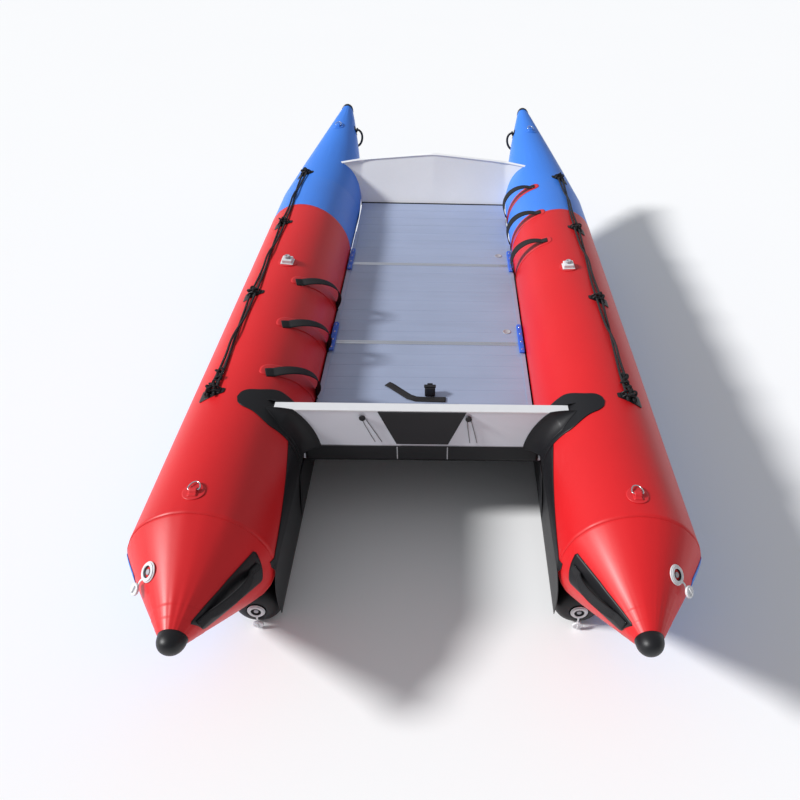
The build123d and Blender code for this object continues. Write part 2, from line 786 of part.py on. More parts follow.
# Oarlock pads: round patch, square block, turning knob
oarlock_y = 2115.0 - half
oarlock_angle = -4.0
oarlock_patches = []
oarlock_blocks = []
for side, sign in sides:
    seat = skin_plane(sign, oarlock_y, oarlock_angle)
    with BuildPart() as oarlock_patch:
        loft(pad(sign, oarlock_y - 48, oarlock_y + 48, gap, 2.5, oarlock_angle - 12, oarlock_angle + 12))
        with BuildSketch(seat.offset(-20)):
            Circle(47)
        extrude(amount=40, mode=Mode.INTERSECT)
    oarlock_patches.append(oarlock_patch.part)
    with BuildPart() as oarlock_block:
        with BuildSketch(seat.offset(3.0)):
            RectangleRounded(52, 52, 7)
        extrude(amount=20)
        fillet(oarlock_block.faces().sort_by(Axis.Z)[-1].edges(), radius=3)
        with BuildSketch(seat.offset(8)):
            Circle(6.3)
        extrude(amount=30, mode=Mode.SUBTRACT)
    oarlock_blocks.append(oarlock_block.part)
    with BuildPart() as oarlock_knob:
        with BuildSketch(seat.offset(9)):
            Circle(6.0)
        extrude(amount=16)
        with BuildSketch(seat.offset(24)):
            Circle(15)
            with PolarLocations(15.5, 6):
                Circle(3, mode=Mode.SUBTRACT)
        extrude(amount=12)
        fillet(oarlock_knob.faces().sort_by(Axis.Z)[-1].edges(), radius=1.2)
    save(oarlock_knob.part, side + "_oarlock_knob")
save_group(oarlock_patches, "oarlock_patches")
save_group(oarlock_blocks, "oarlock_blocks")

# Inflation valves: body, sprung plunger, and a cap on a tether that turns round the body
with BuildPart() as coil_spring:
    with BuildLine() as coil:
        Helix(pitch=4.6, height=23, radius=6.2)
    with BuildSketch(Plane(origin=coil.line @ 0, z_dir=coil.line % 0)):
        Circle(0.8)
    sweep(is_frenet=True)

bodies = []
for side, sign in sides:
    for place, seat in (("stern", stern_valve_plane(sign)), ("runner", runner_valve_plane(sign))):
        with BuildPart() as valve_body:
            with BuildSketch(seat.offset(1.0)):
                Circle(valve_r)
                Circle(valve_bore, mode=Mode.SUBTRACT)
            extrude(amount=3.0)
            with BuildSketch(seat.offset(-28)):
                Circle(valve_barrel_r)
                Circle(valve_bore, mode=Mode.SUBTRACT)
            extrude(amount=36)
            with BuildSketch(seat.offset(-28)):
                Circle(valve_bore + 1)
                Circle(9, mode=Mode.SUBTRACT)
            extrude(amount=3)
        bodies.append(valve_body.part)

        with BuildPart() as plunger:
            with BuildSketch(seat.offset(-33)):
                Circle(14)
            extrude(amount=4.5)
            with BuildSketch(seat.offset(-30)):
                Circle(3.5)
            extrude(amount=33)
            with BuildSketch(seat.offset(1)):
                Circle(9)
            extrude(amount=4)
        save(plunger.part, side + "_" + place + "_valve_plunger")

        spring = seat.offset(-24).location * coil_spring.part
        save(spring, side + "_" + place + "_valve_spring")

        down = Vector(0, 0, -1) - seat.z_dir * Vector(0, 0, -1).dot(seat.z_dir)
        hang = Plane(origin=seat.origin, x_dir=down, z_dir=seat.z_dir)
        with BuildPart() as cap:
            with BuildSketch(hang.offset(4.6)):
                Circle(29)
                Circle(valve_barrel_r + 0.8, mode=Mode.SUBTRACT)
                with Locations((38, 0)):
                    Rectangle(24, 8)
            extrude(amount=2)
            with BuildSketch(hang.offset(4.6)):
                with Locations((67, 0)):
                    Circle(20)
            extrude(amount=9)
        save(cap.part, side + "_" + place + "_valve_cap")
save_group(bodies, "valve_bodies")
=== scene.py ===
import bpy
import bmesh
import json
import math
from mathutils import Matrix, Vector, noise


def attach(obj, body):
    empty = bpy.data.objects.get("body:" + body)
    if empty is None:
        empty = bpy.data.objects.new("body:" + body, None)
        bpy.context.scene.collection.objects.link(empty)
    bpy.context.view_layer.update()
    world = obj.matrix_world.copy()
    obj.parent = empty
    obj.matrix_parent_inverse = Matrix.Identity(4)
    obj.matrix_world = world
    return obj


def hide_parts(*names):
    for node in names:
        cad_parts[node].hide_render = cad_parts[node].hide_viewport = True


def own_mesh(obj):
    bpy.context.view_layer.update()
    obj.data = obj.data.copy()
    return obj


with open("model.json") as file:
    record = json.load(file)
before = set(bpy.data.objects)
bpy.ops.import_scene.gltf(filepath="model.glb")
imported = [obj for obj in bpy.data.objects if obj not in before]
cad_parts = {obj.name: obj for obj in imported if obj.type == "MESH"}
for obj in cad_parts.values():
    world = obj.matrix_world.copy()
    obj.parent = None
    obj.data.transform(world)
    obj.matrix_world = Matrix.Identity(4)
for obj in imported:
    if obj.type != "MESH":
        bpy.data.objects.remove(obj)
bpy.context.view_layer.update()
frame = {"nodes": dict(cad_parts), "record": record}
scene = bpy.context.scene
sides = (("port", -1), ("starboard", 1))

# The sponsons' shape, metres: stations count forward from the stern tips
boat = {
    "length": 4.3, "radius": 0.242, "axisX": 0.720, "axisZ": 0.400,
    "sternSeam": 0.400, "bowSeam": 2.830, "bowSlant": 14.0, "bowRise": 3.250,
    "sternTip": (0.702, 0.482, 0.005), "bowTip": (0.629, 0.762, 0.028),
    "sternCap": 0.058, "bowCap": 0.034,
    "bowTaper": 1.5, "bowRiseCurve": 1.35, "bowTurn": 0.95, "sternTaper": 1.06,
}
half = boat["length"] / 2


# Axis x, axis z and radius of a sponson
def section(station):
    r0 = boat["radius"]
    if station > boat["bowRise"]:
        s = (station - boat["bowRise"]) / (boat["length"] - boat["bowRise"])
        tipX, tipZ, tipR = boat["bowTip"]
        r = r0 - (r0 - tipR) * s ** boat["bowTaper"]
        crown = boat["axisZ"] + r0
        top = crown + (tipZ + tipR - crown) * s ** boat["bowRiseCurve"]
        return boat["axisX"] - (boat["axisX"] - tipX) * s ** boat["bowTurn"], top - r, r
    if station < boat["sternSeam"]:
        s = (boat["sternSeam"] - station) / boat["sternSeam"]
        tipX, tipZ, tipR = boat["sternTip"]
        x = boat["axisX"] + (tipX - boat["axisX"]) * s
        z = boat["axisZ"] + (tipZ - boat["axisZ"]) * s
        return x, z, r0 - (r0 - tipR) * s ** boat["sternTaper"]
    return boat["axisX"], boat["axisZ"], r0


def skinPoint(sign, station, angle, lift=0.0):
    x, z, r = section(station)
    a = math.radians(angle)
    reach = r + lift
    return Vector((sign * (x + reach * math.sin(a)), station - half, z + reach * math.cos(a)))


# A seat on the skin: x forward, z outwards
def skinSeat(sign, station, angle, lift=0.0):
    here = skinPoint(sign, station, angle, lift)
    step = 0.001
    ahead = skinPoint(sign, station + step, angle, lift) - skinPoint(sign, station - step, angle, lift)
    around = skinPoint(sign, station, angle + 1, lift) - skinPoint(sign, station, angle - 1, lift)
    out = around.cross(ahead) if sign > 0 else ahead.cross(around)
    return seatMatrix(here, ahead, out)


def seatMatrix(origin, xDir, zDir):
    z = Vector(zDir).normalized()
    x = (Vector(xDir) - z * Vector(xDir).dot(z)).normalized()
    y = z.cross(x)
    turn = Matrix((x, y, z)).transposed().to_4x4()
    return Matrix.Translation(origin) @ turn


# Shader expressions: an operator on a wire adds its Math node
class Wire:
    def __init__(self, tree, socket):
        self.tree = tree
        self.socket = socket

    def maths(self, kind, *others):
        node = self.tree.nodes.new("ShaderNodeMath")
        node.operation = kind
        for slot, item in zip(node.inputs, others):
            plug(self.tree, slot, item)
        return Wire(self.tree, node.outputs[0])

    def __add__(self, other):
        return self.maths("ADD", self, other)

    def __radd__(self, other):
        return self.maths("ADD", other, self)

    def __sub__(self, other):
        return self.maths("SUBTRACT", self, other)

    def __rsub__(self, other):
        return self.maths("SUBTRACT", other, self)

    def __mul__(self, other):
        return self.maths("MULTIPLY", self, other)

    def __rmul__(self, other):
        return self.maths("MULTIPLY", other, self)


def plug(tree, slot, item):
    if isinstance(item, Wire):
        tree.links.new(item.socket, slot)
    else:
        slot.default_value = item


class Finish:
    def __init__(self, name, tint, rough, metallic=0.0, specular=0.5):
        self.material = bpy.data.materials.new(name)
        self.material.use_nodes = True
        self.tree = self.material.node_tree
        self.shader = self.tree.nodes["Principled BSDF"]
        self.material.diffuse_color = (*tint, 1)
        self.tint = (*tint, 1)
        self.rough = rough
        self.shader.inputs["Metallic"].default_value = metallic
        self.shader.inputs["Specular IOR Level"].default_value = specular
        self.place = self.node("TexCoord", output="Object")

    def node(self, kind, settings=(), output=0, **sockets):
        node = self.tree.nodes.new("ShaderNode" + kind)
        for key, value in dict(settings).items():
            if key == "stops":
                ramp = node.color_ramp.elements
                for element, (at, shade) in zip(ramp, value):
                    element.position = at
                    element.color = shade
            else:
                setattr(node, key, value)
        for key, item in sockets.items():
            numbered = key[0] == "i" and key[1:].isdigit()
            plug(self.tree, node.inputs[int(key[1:]) if numbered else key], item)
        return Wire(self.tree, node.outputs[output])

    def speckle(self, scale, detail=3.0, stretch=(1, 1, 1), rough=0.5):
        at = self.place
        if stretch != (1, 1, 1):
            at = self.node("Mapping", Vector=self.place, Scale=stretch)
        return self.node("TexNoise", Vector=at, Scale=scale, Detail=detail, Roughness=rough)

    def blend(self, amount, first, second, kind="MIX"):
        return self.node("Mix", {"data_type": "RGBA", "blend_type": kind}, output=2,
                         i0=amount, i6=first, i7=second)

    def axis(self, which):
        return self.node("SeparateXYZ", output=which, Vector=self.place)

    def close(self, colour=None, rough=None, height=None, depth=0.001, strength=0.5):
        plug(self.tree, self.shader.inputs["Base Color"], self.tint if colour is None else colour)
        plug(self.tree, self.shader.inputs["Roughness"], self.rough if rough is None else rough)
        if height is not None:
            bump = self.node("Bump", Height=height, Distance=depth, Strength=strength)
            plug(self.tree, self.shader.inputs["Normal"], bump)
        return self.material


def shade(tint, factor):
    return tuple(min(1.0, c * factor) for c in tint[:3]) + (1,)


# Coated boat fabric: soft gloss, faint weave, broad waves, a few darker flecks from a fine noise
def coatedFabric(name, tint, rough=0.42, coat=0.05):
    f = Finish(name, tint, rough, 0.0, 0.36)
    broad = f.speckle(2.2, 4.0)
    fine = f.speckle(60.0, 3.0)
    grain = f.speckle(700.0, 2.0)
    weave = f.node("TexWave", {"wave_type": "BANDS", "bands_direction": "Y"}, output=1,
                   Vector=f.place, Scale=160.0, Distortion=0.6)
    colour = f.blend(broad, shade(tint, 0.90), shade(tint, 1.08))
    colour = f.blend(fine * 0.12, colour, shade(tint, 0.72))
    creases = f.speckle(9.0, 2.0, (1, 0.35, 1), 0.45)
    height = creases * 0.75 + fine * 0.10 + grain * 0.06 + weave * 0.04
    f.shader.inputs["Coat Weight"].default_value = coat
    f.shader.inputs["Coat Roughness"].default_value = 0.22
    return f.close(colour, f.rough - 0.06 + broad * 0.10 + grain * 0.05, height, 0.004, 0.28)


def webbing(name, tint, rough=0.7):
    f = Finish(name, tint, rough)
    ribs = f.node("TexWave", {"wave_type": "BANDS", "bands_direction": "DIAGONAL"}, output=1,
                  Vector=f.place, Scale=420.0, Distortion=1.5)
    dust = f.speckle(30.0)
    colour = f.blend(dust * 0.5, shade(tint, 0.8), shade(tint, 1.9))
    return f.close(colour, f.rough + dust * 0.15, ribs * 0.6 + dust * 0.4, 0.0008, 0.7)


def moulded(name, tint, rough=0.45, specular=0.5):
    f = Finish(name, tint, rough, 0.0, specular)
    pits = f.speckle(900.0, 2.0)
    wear = f.speckle(25.0, 4.0)
    colour = f.blend(wear * 0.4, shade(tint, 0.88), shade(tint, 1.12))
    return f.close(colour, f.rough - 0.05 + wear * 0.14, pits, 0.0004, 0.4)


def metal(name, tint, rough, brushed=(1, 1, 1)):
    f = Finish(name, tint, rough, 1.0)
    lines = f.speckle(40.0, 4.0, brushed)
    cloud = f.speckle(3.0, 3.0)
    colour = f.blend(cloud, shade(tint, 0.86), shade(tint, 1.06))
    return f.close(colour, f.rough - 0.06 + lines * 0.16, lines, 0.0003, 0.35)


def floorMetal(name):
    f = Finish(name, (0.38, 0.44, 0.60), 0.42, 0.35)
    along = f.axis(1)
    lines = f.speckle(30.0, 4.0, (0.06, 1, 1))
    cloud = f.speckle(2.6, 4.0)
    flutes = along.maths("SINE", along * 523.6)  # a 12 mm pitch
    colour = f.blend(cloud, shade(f.tint, 0.84), shade(f.tint, 1.10))
    colour = f.blend(lines * 0.35, colour, shade(f.tint, 1.45))
    smudge = f.speckle(7.0, 5.0)
    return f.close(colour, 0.32 + smudge * 0.22, flutes * 0.35 + lines * 0.5, 0.0006, 0.35)


def paintedWood(name):
    f = Finish(name, (0.74, 0.75, 0.82), 0.30)
    grain = f.speckle(22.0, 5.0, (0.12, 1, 1.0))
    cloud = f.speckle(3.0)
    colour = f.blend(cloud * 0.7, shade(f.tint, 0.95), shade(f.tint, 1.05))
    scuff = f.speckle(55.0, 6.0)
    marks = f.node("ValToRGB", {"stops": ((0.70, (0, 0, 0, 1)), (0.90, (1, 1, 1, 1)))}, Fac=scuff)
    colour = f.blend(marks, colour, (0.55, 0.55, 0.60, 1))
    f.shader.inputs["Coat Weight"].default_value = 0.35
    f.shader.inputs["Coat Roughness"].default_value = 0.12
    return f.close(colour, 0.26 + cloud * 0.12, grain, 0.0006, 0.3)


def ropeFinish(name, tint):
    f = Finish(name, tint, 0.75)
    ways = f.node("UVMap")
    split = f.node("SeparateXYZ", output=0, Vector=ways)
    around = f.node("SeparateXYZ", output=1, Vector=ways)
    phase = split * 1100.0 + around * 12.566
    strandShadeAndRidges = phase.maths("SINE", phase)
    fuzz = f.speckle(400.0)
    # Painted highlight and painted shade: the strands are painted lighter on their crests and darker in the
    # grooves between them, following the twist bump
    colour = f.blend(strandShadeAndRidges * 0.3 + 0.4, shade(tint, 0.6), shade(tint, 2.0))
    return f.close(colour, None, strandShadeAndRidges * 0.7 + fuzz * 0.3, 0.0015, 0.8)


finish = {
    "red_fabric": coatedFabric("redBoatFabric", (0.66, 0.012, 0.016)),
    "blue_fabric": coatedFabric("blueBoatFabric", (0.048, 0.225, 0.80)),
    "black_fabric": coatedFabric("blackBoatFabric", (0.006, 0.006, 0.008), 0.50, 0.02),
    "grey_fabric": coatedFabric("greyBoatFabric", (0.30, 0.31, 0.34), 0.5, 0.0),
    "white_fabric": coatedFabric("whiteBoatFabric", (0.92, 0.93, 0.95), 0.50, 0.0),
    "red_patch": coatedFabric("redPatchFabric", (0.66, 0.024, 0.030), 0.46, 0.04),
    "black_rubber": moulded("blackRubber", (0.007, 0.007, 0.009), 0.42, 0.4),
    "black_webbing": webbing("blackWebbing", (0.006, 0.006, 0.008)),
    "black_rope": ropeFinish("blackRope", (0.010, 0.010, 0.012)),
    "grey_cord": ropeFinish("greyCord", (0.20, 0.20, 0.21)),
    "black_plastic": moulded("blackPlastic", (0.014, 0.013, 0.016), 0.50, 0.4),
    "blue_plastic": moulded("bluePlastic", (0.040, 0.150, 0.72), 0.38),
    "grey_plastic": moulded("greyPlastic", (0.42, 0.42, 0.45), 0.42),
    "white_plastic": moulded("whitePlastic", (0.78, 0.78, 0.80), 0.34),
    "floor_aluminium": floorMetal("floorAluminium"),
    "bright_aluminium": metal("brightAluminium", (0.82, 0.85, 0.92), 0.34, (0.1, 1, 1)),
    "white_painted_wood": paintedWood("paintedTransom"),
    "steel": metal("polishedSteel", (0.72, 0.73, 0.75), 0.22),
    "spring_steel": metal("springSteel", (0.45, 0.45, 0.47), 0.35),
}
for row in frame["record"]["materials"]:
    for name in row.get("nodes", ()):
        skin = frame["nodes"][name].data.materials
        skin.clear()
        skin.append(finish[row["slot"]])
print("finishes", len(finish))


# Making pieces
def piece(name, mesh, slot, instead=(), body="root", smooth=True):
    data = bpy.data.meshes.new(name)
    mesh.to_mesh(data)
    mesh.free()
    data.materials.append(finish[slot])
    if smooth:
        data.shade_smooth()
    made = bpy.data.objects.new(name, data)
    scene.collection.objects.link(made)
    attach(made, body)
    if instead:
        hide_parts(*instead)
    return made


# Gives a surface its thickness: offset -1 inwards, +1 outwards
def wall(made, thickness, offset=-1.0):
    layer = made.modifiers.new("wall", "SOLIDIFY")
    layer.thickness = thickness
    layer.offset = offset
    return made


# A grid of cells laid where place(u, v) says, u and v from 0 to 1
def sheetMesh(along, across, place, seam=False, outFrom=None):
    mesh = bmesh.new()
    bmesh.ops.create_grid(mesh, x_segments=along, y_segments=across, size=0.5)
    for vert in mesh.verts:
        vert.co = Vector(place(vert.co.x + 0.5, vert.co.y + 0.5))
    if seam:
        bmesh.ops.remove_doubles(mesh, verts=mesh.verts, dist=1e-5)
    mesh.normal_update()
    if outFrom is not None:
        middle = min(mesh.faces, key=lambda face: abs(face.index - len(mesh.faces) / 2))
        centre = middle.calc_center_median()
        away = centre - Vector(outFrom(centre))
        if middle.normal.dot(away) < 0:
            bmesh.ops.reverse_faces(mesh, faces=mesh.faces)
    return mesh


# A closed turning from (radius, height) points
def spinMesh(profile, steps=48):
    mesh = bmesh.new()
    verts = [mesh.verts.new((r, 0, h)) for r, h in profile]
    edges = [mesh.edges.new(pair) for pair in zip(verts, verts[1:])]
    bmesh.ops.spin(mesh, geom=verts + edges, cent=(0, 0, 0), axis=(0, 0, 1), angle=math.tau,
                   steps=steps, use_merge=True)
    bmesh.ops.remove_doubles(mesh, verts=mesh.verts, dist=1e-6)
    bmesh.ops.recalc_face_normals(mesh, faces=mesh.faces)
    return mesh


# A bevelled block between two corners
def blockMesh(low, high, bevel=0.002, segments=3):
    mesh = bmesh.new()
    bmesh.ops.create_cube(mesh, size=1.0)
    size = Vector(high) - Vector(low)
    bmesh.ops.scale(mesh, vec=size, verts=mesh.verts)
    bmesh.ops.translate(mesh, vec=(Vector(high) + Vector(low)) / 2, verts=mesh.verts)
    if bevel:
        bmesh.ops.bevel(mesh, geom=mesh.edges[:], offset=bevel, segments=segments, profile=0.5,
                        affect="EDGES", material=-1, clamp_overlap=True)
    return mesh


# A flat outline in x and z, thickened along y
def slabMesh(outline, depth, bevel=0.002, segments=3):
    mesh = bmesh.new()
    verts = [mesh.verts.new((x, 0, z)) for x, z in outline]
    face = mesh.faces.new(verts)
    out = bmesh.ops.extrude_face_region(mesh, geom=[face])
    moved = [item for item in out["geom"] if isinstance(item, bmesh.types.BMVert)]
    bmesh.ops.translate(mesh, vec=(0, depth, 0), verts=moved)
    bmesh.ops.recalc_face_normals(mesh, faces=mesh.faces)
    if bevel:
        rims = [e for e in mesh.edges if abs(e.verts[0].co.y - e.verts[1].co.y) < 1e-6]
        bmesh.ops.bevel(mesh, geom=rims, offset=bevel, segments=segments, profile=0.5,
                        affect="EDGES", material=-1, clamp_overlap=True)
    return mesh


def joined(parts):
    whole = bmesh.new()
    for part in parts:
        data = bpy.data.meshes.new("part")
        part.to_mesh(data)
        part.free()
        whole.from_mesh(data)
        bpy.data.meshes.remove(data)
    return whole


def placed(mesh, matrix):
    bmesh.ops.transform(mesh, matrix=matrix, verts=mesh.verts)
    return mesh


def curvePiece(name, points, radius, slot, closed=False, facets=6):
    data = bpy.data.curves.new(name, "CURVE")
    data.dimensions = "3D"
    data.bevel_depth = radius
    data.bevel_resolution = facets
    data.resolution_u = 10
    data.use_fill_caps = True
    spline = data.splines.new("NURBS")
    spline.points.add(len(points) - 1)
    for point, co in zip(spline.points, points):
        point.co = (*co, 1)
    spline.order_u = 3
    spline.use_endpoint_u = not closed
    spline.use_cyclic_u = closed
    data.materials.append(finish[slot])
    made = bpy.data.objects.new(name, data)
    scene.collection.objects.link(made)
    return made


# A smooth wire along a few points, as a mesh
def wireMesh(points, radius, closed=True, facets=3):
    made = curvePiece("wire", points, radius, "steel", closed, facets)
    data = bpy.data.meshes.new_from_object(made)
    mesh = bmesh.new()
    mesh.from_mesh(data)
    bpy.data.objects.remove(made)
    bpy.data.meshes.remove(data)
    bmesh.ops.recalc_face_normals(mesh, faces=mesh.faces)
    return mesh


# Sponson shells
shell = {"around": 128, "wall": 0.002, "ripple": 0.0016, "rippleReach": 0.07,
         "lap": 0.018, "lapLift": 0.0006, "tipBands": ((0.128, 0.0012), (0.092, 0.0010))}


def axisOf(sign):
    def at(point):
        x, z, r = section(min(max(point.y + half, 0.0), boat["length"]))
        return sign * x, point.y, z
    return at


# Small puckers that fade out from each seam
def seamRipple(sign, station, angle, seams):
    total = 0.0
    turn = math.radians(angle)
    for seam in seams:
        wave = noise.noise(Vector((sign * 3.7 + seam, math.cos(turn) * 9, math.sin(turn) * 9)))
        total += wave * math.exp(-abs(station - seam) / shell["rippleReach"])
    slow = noise.noise(Vector((station * 1.7, sign * 5.0 + math.sin(turn) * 1.4, 2.0)))
    return shell["ripple"] * (total + 0.5 * slow)


def bowSeamAt(angle):
    slant = math.tan(math.radians(boat["bowSlant"]))
    return boat["bowSeam"] + slant * boat["radius"] * math.sin(math.radians(angle))


def sleeve(name, sign, firstOf, lastOf, along, liftOf, seams, slot, node):
    def place(u, v):
        angle = 360 * v
        station = firstOf(angle) + (lastOf(angle) - firstOf(angle)) * u
        lift = liftOf(station, angle) + seamRipple(sign, station, angle, seams)
        return skinPoint(sign, station, angle, lift)
    mesh = sheetMesh(along, shell["around"], place, seam=True, outFrom=axisOf(sign))
    return wall(piece(name, mesh, slot, [node]), shell["wall"])


for side, sign in sides:
    seams = (boat["sternSeam"], boat["bowSeam"])
    aftEdge = boat["sternSeam"] - 0.004

    def lapped(station, angle):
        aft = station < aftEdge + shell["lap"]
        return shell["lapLift"] if aft or station > bowSeamAt(angle) - shell["lap"] else 0.0

    sleeve(side + "MainTube", sign, lambda a: aftEdge, bowSeamAt, 150, lapped,
           seams, "red_fabric", side + "_main_tube")
    sleeve(side + "BowCone", sign, lambda a: bowSeamAt(a) - 0.016,
           lambda a: boat["length"] - boat["bowCap"] + 0.004, 110,
           lambda s, a: -0.0016 if s < bowSeamAt(a) + 0.002 else 0.0,
           (boat["bowSeam"], 3.62, 4.18), "blue_fabric", side + "_bow_cone")

    def banded(station, angle):
        tucked = -0.0010 if station > aftEdge - 0.001 else 0.0
        return tucked + sum(rise for reach, rise in shell["tipBands"] if station < reach)

    sleeve(side + "SternCone", sign, lambda a: boat["sternCap"] - 0.004,
           lambda a: boat["sternSeam"] + 0.012, 90, banded,
           seams[:1] + (shell["tipBands"][0][0],), "red_fabric", side + "_stern_cone")
print("sponson shells")

# Moulded tip caps
tipCap = {"skirt": 0.0022, "roundness": 2.3, "lip": 0.0012}
caps = []
for side, sign in sides:
    for end, inward, length in ((0.0, 1, boat["sternCap"]), (boat["length"], -1, boat["bowCap"])):
        def capPlace(u, v):
            s = 1 - (1 - u) ** 1.8
            station = end + inward * length * (1 - s)
            x, z, r = section(station)
            ring = (section(end + inward * length)[2] + tipCap["skirt"])
            ring *= max(0.0, 1 - s**tipCap["roundness"]) ** (1 / tipCap["roundness"])
            ring += tipCap["lip"] * max(0.0, 1 - s * 12)
            a = math.tau * v
            return sign * x + ring * math.cos(a), station - half, z + ring * math.sin(a)
        mesh = sheetMesh(24, 64, capPlace, seam=True)
        rim = [edge for edge in mesh.edges if edge.is_boundary]
        bmesh.ops.edgeloop_fill(mesh, edges=rim)
        bmesh.ops.recalc_face_normals(mesh, faces=mesh.faces)
        caps.append(mesh)
piece("tipCaps", joined(caps), "black_rubber", ["tip_caps"])

# Runners
runner = {"radius": 0.091, "x": 0.592, "end": 0.440, "front": 3.350, "taper": 0.600, "tip": 0.034,
          "domeShare": 0.10, "dome": 0.052, "flat": 0.036}
for side, sign in sides:
    def runnerPlace(u, v):
        r0 = runner["radius"]
        domeEnd = runner["end"] + runner["dome"]
        if u < runner["domeShare"]:
            a = u / runner["domeShare"] * math.pi / 2
            station = runner["end"] + runner["dome"] * (1 - math.cos(a))
            ring = runner["flat"] + (r0 - runner["flat"]) * math.sin(a)
            height = r0
        else:
            share = (u - runner["domeShare"]) / (1 - runner["domeShare"])
            station = domeEnd + (runner["front"] - domeEnd) * share
            s = max(0.0, (station - runner["front"] + runner["taper"]) / runner["taper"])
            ring = r0 - (r0 - runner["tip"]) * s**1.6
            height = 2 * r0 - ring - s * 0.001
        a = math.tau * v
        return sign * runner["x"] + ring * math.cos(a), station - half, height + ring * math.sin(a)
    mesh = sheetMesh(140, 72, runnerPlace, seam=True)
    bmesh.ops.recalc_face_normals(mesh, faces=mesh.faces)
    front = [e for e in mesh.edges if e.is_boundary and e.verts[0].co.y > 0]
    bmesh.ops.edgeloop_fill(mesh, edges=front)
    bmesh.ops.recalc_face_normals(mesh, faces=mesh.faces)
    wall(piece(side + "Runner", mesh, "black_fabric", [side + "_runner"]), 0.002)

# Skins: black on the inner sides, blue under the outer sides
skins = {"lift": 0.0008, "wall": 0.0016, "aft": 0.380, "holderAft": 0.893, "underFloor": 0.343,
         "band": 0.45, "fold": 0.396, "bottomAft": 0.300}
inner = []
outer = []
for side, sign in sides:
    near = boat["axisX"] - boat["radius"] - 0.0036
    by = runner["x"] - runner["radius"] - 0.0030
    holderAft = skins["holderAft"]

    def webPlace(u, v):
        station = skins["aft"] + (holderAft - skins["aft"]) * u
        if v < skins["band"]:
            edge = -84 + 22 * u**1.3
            return skinPoint(sign, station, edge + (-90.5 - edge) * v / skins["band"], skins["lift"])
        s = (v - skins["band"]) / (1 - skins["band"])
        x = near + (by - near) * s + 0.006 * math.sin(math.pi * s)
        station += 0.050 * (1 - u) * s**2
        return sign * x, station - half, skins["fold"] + (runner["radius"] - skins["fold"]) * s

    def lowPlace(u, v):
        station = holderAft + (runner["front"] - runner["taper"] - holderAft) * u
        top = boat["axisZ"]
        s0 = (top - skins["underFloor"]) / (top - runner["radius"])
        s = s0 + (1 - s0) * v
        return sign * (near + (by - near) * s), station - half, top + (runner["radius"] - top) * s

    def bottomPlace(u, v):
        station = skins["bottomAft"] + (boat["bowRise"] - skins["bottomAft"]) * u
        return skinPoint(sign, station, 80 + 105 * v, skins["lift"])

    for place in (webPlace, lowPlace):
        inner.append(sheetMesh(50, 26, place, outFrom=lambda p: (sign * boat["axisX"], p.y, 0.3)))
    outer.append(sheetMesh(120, 36, bottomPlace, outFrom=axisOf(sign)))
wall(piece("innerSkins", joined(inner), "black_fabric", ["inner_skins"]), skins["wall"], 1.0)
wall(piece("bottomSkins", joined(outer), "blue_fabric", ["bottom_skins"]), skins["wall"], 1.0)
print("runners and skins")

# Transom board with its edge capping
transom = {"aft": 0.981, "depth": 0.045, "top": 0.600, "low": 0.352, "clear": 0.247, "corner": 0.022,
           "capHalf": 0.568, "capLow": 0.5935, "capTop": 0.6012}
aftY = transom["aft"] - half


def boardOutline(top, low, clear, corner):
    reach = boat["axisX"] - math.sqrt(clear**2 - (top - boat["axisZ"]) ** 2)
    start = math.degrees(math.asin((top - corner - boat["axisZ"]) / clear))
    stop = math.degrees(math.asin((low - boat["axisZ"]) / clear))
    right = []
    for i in range(13):
        a = math.radians(start + (stop - start) * i / 12)
        right.append((boat["axisX"] - clear * math.cos(a), boat["axisZ"] + clear * math.sin(a)))
    right.insert(0, (reach - corner, top))
    return right + [(-x, z) for x, z in reversed(right)]


board = slabMesh(boardOutline(transom["top"], transom["low"], transom["clear"], transom["corner"]),
                 transom["depth"], 0.0025, 3)
placed(board, Matrix.Translation((0, aftY, 0)))
piece("transomBoard", board, "white_painted_wood", ["transom_board"], smooth=False)
capping = blockMesh((-transom["capHalf"], aftY - 0.0012, transom["capLow"]),
                    (transom["capHalf"], aftY + 0.0462, transom["capTop"]), 0.0011, 2)
piece("transomCapping", capping, "white_plastic", smooth=False)

# Fabric holders: a tongue on each sponson, with fillets up both faces of the board
holder = {"halfWide": 0.1085, "tip": 0.058, "from": -4, "to": -100, "lift": 0.0008, "thick": 0.0030,
          "foot": 0.062, "climb": 0.050}
tongues = []
fillets = []
for side, sign in sides:
    middle = transom["aft"] + transom["depth"] / 2

    def tonguePlace(u, v):
        angle = holder["from"] + (holder["to"] - holder["from"]) * u
        arc = abs(angle - holder["from"]) * math.pi / 180 * boat["radius"]
        tip = min(1.0, arc / holder["tip"])
        wide = holder["tip"] * math.sqrt(max(0.0, 1 - (1 - tip) ** 2))
        grow = min(1.0, max(0.0, (arc - 0.04) / 0.12))
        wide += (holder["halfWide"] - holder["tip"]) * grow * grow * (3 - 2 * grow)
        return skinPoint(sign, middle + wide * (2 * v - 1), angle, holder["lift"])

    tongues.append(sheetMesh(60, 32, tonguePlace, outFrom=axisOf(sign)))
    for face, sense in ((transom["aft"], -1), (transom["aft"] + transom["depth"], 1)):
        def filletPlace(u, v):
            angle = -30 - 58 * u
            ease = min(1.0, u * 3.2)
            foot = holder["foot"] * ease * (1.0 if sense < 0 else 0.7)
            climb = holder["climb"] * ease * (1 + 0.5 * u) * (1.0 if sense < 0 else 0.6)
            a = v * math.pi / 2
            off = foot * (1 - math.sin(a)) + 0.0016
            rise = climb * (1 - math.cos(a)) + 0.0040
            return skinPoint(sign, face + sense * off, angle, rise)
        fillets.append(sheetMesh(48, 14, filletPlace,
                                 outFrom=lambda p: (sign * boat["axisX"], aftY + 0.0225, 0.40)))
wall(piece("transomTongues", joined(tongues), "black_fabric", ["transom_holders"]), holder["thick"], 1.0)
wall(piece("transomFillets", joined(fillets), "black_fabric", ["transom_holders"]), 0.0024, 0.0)

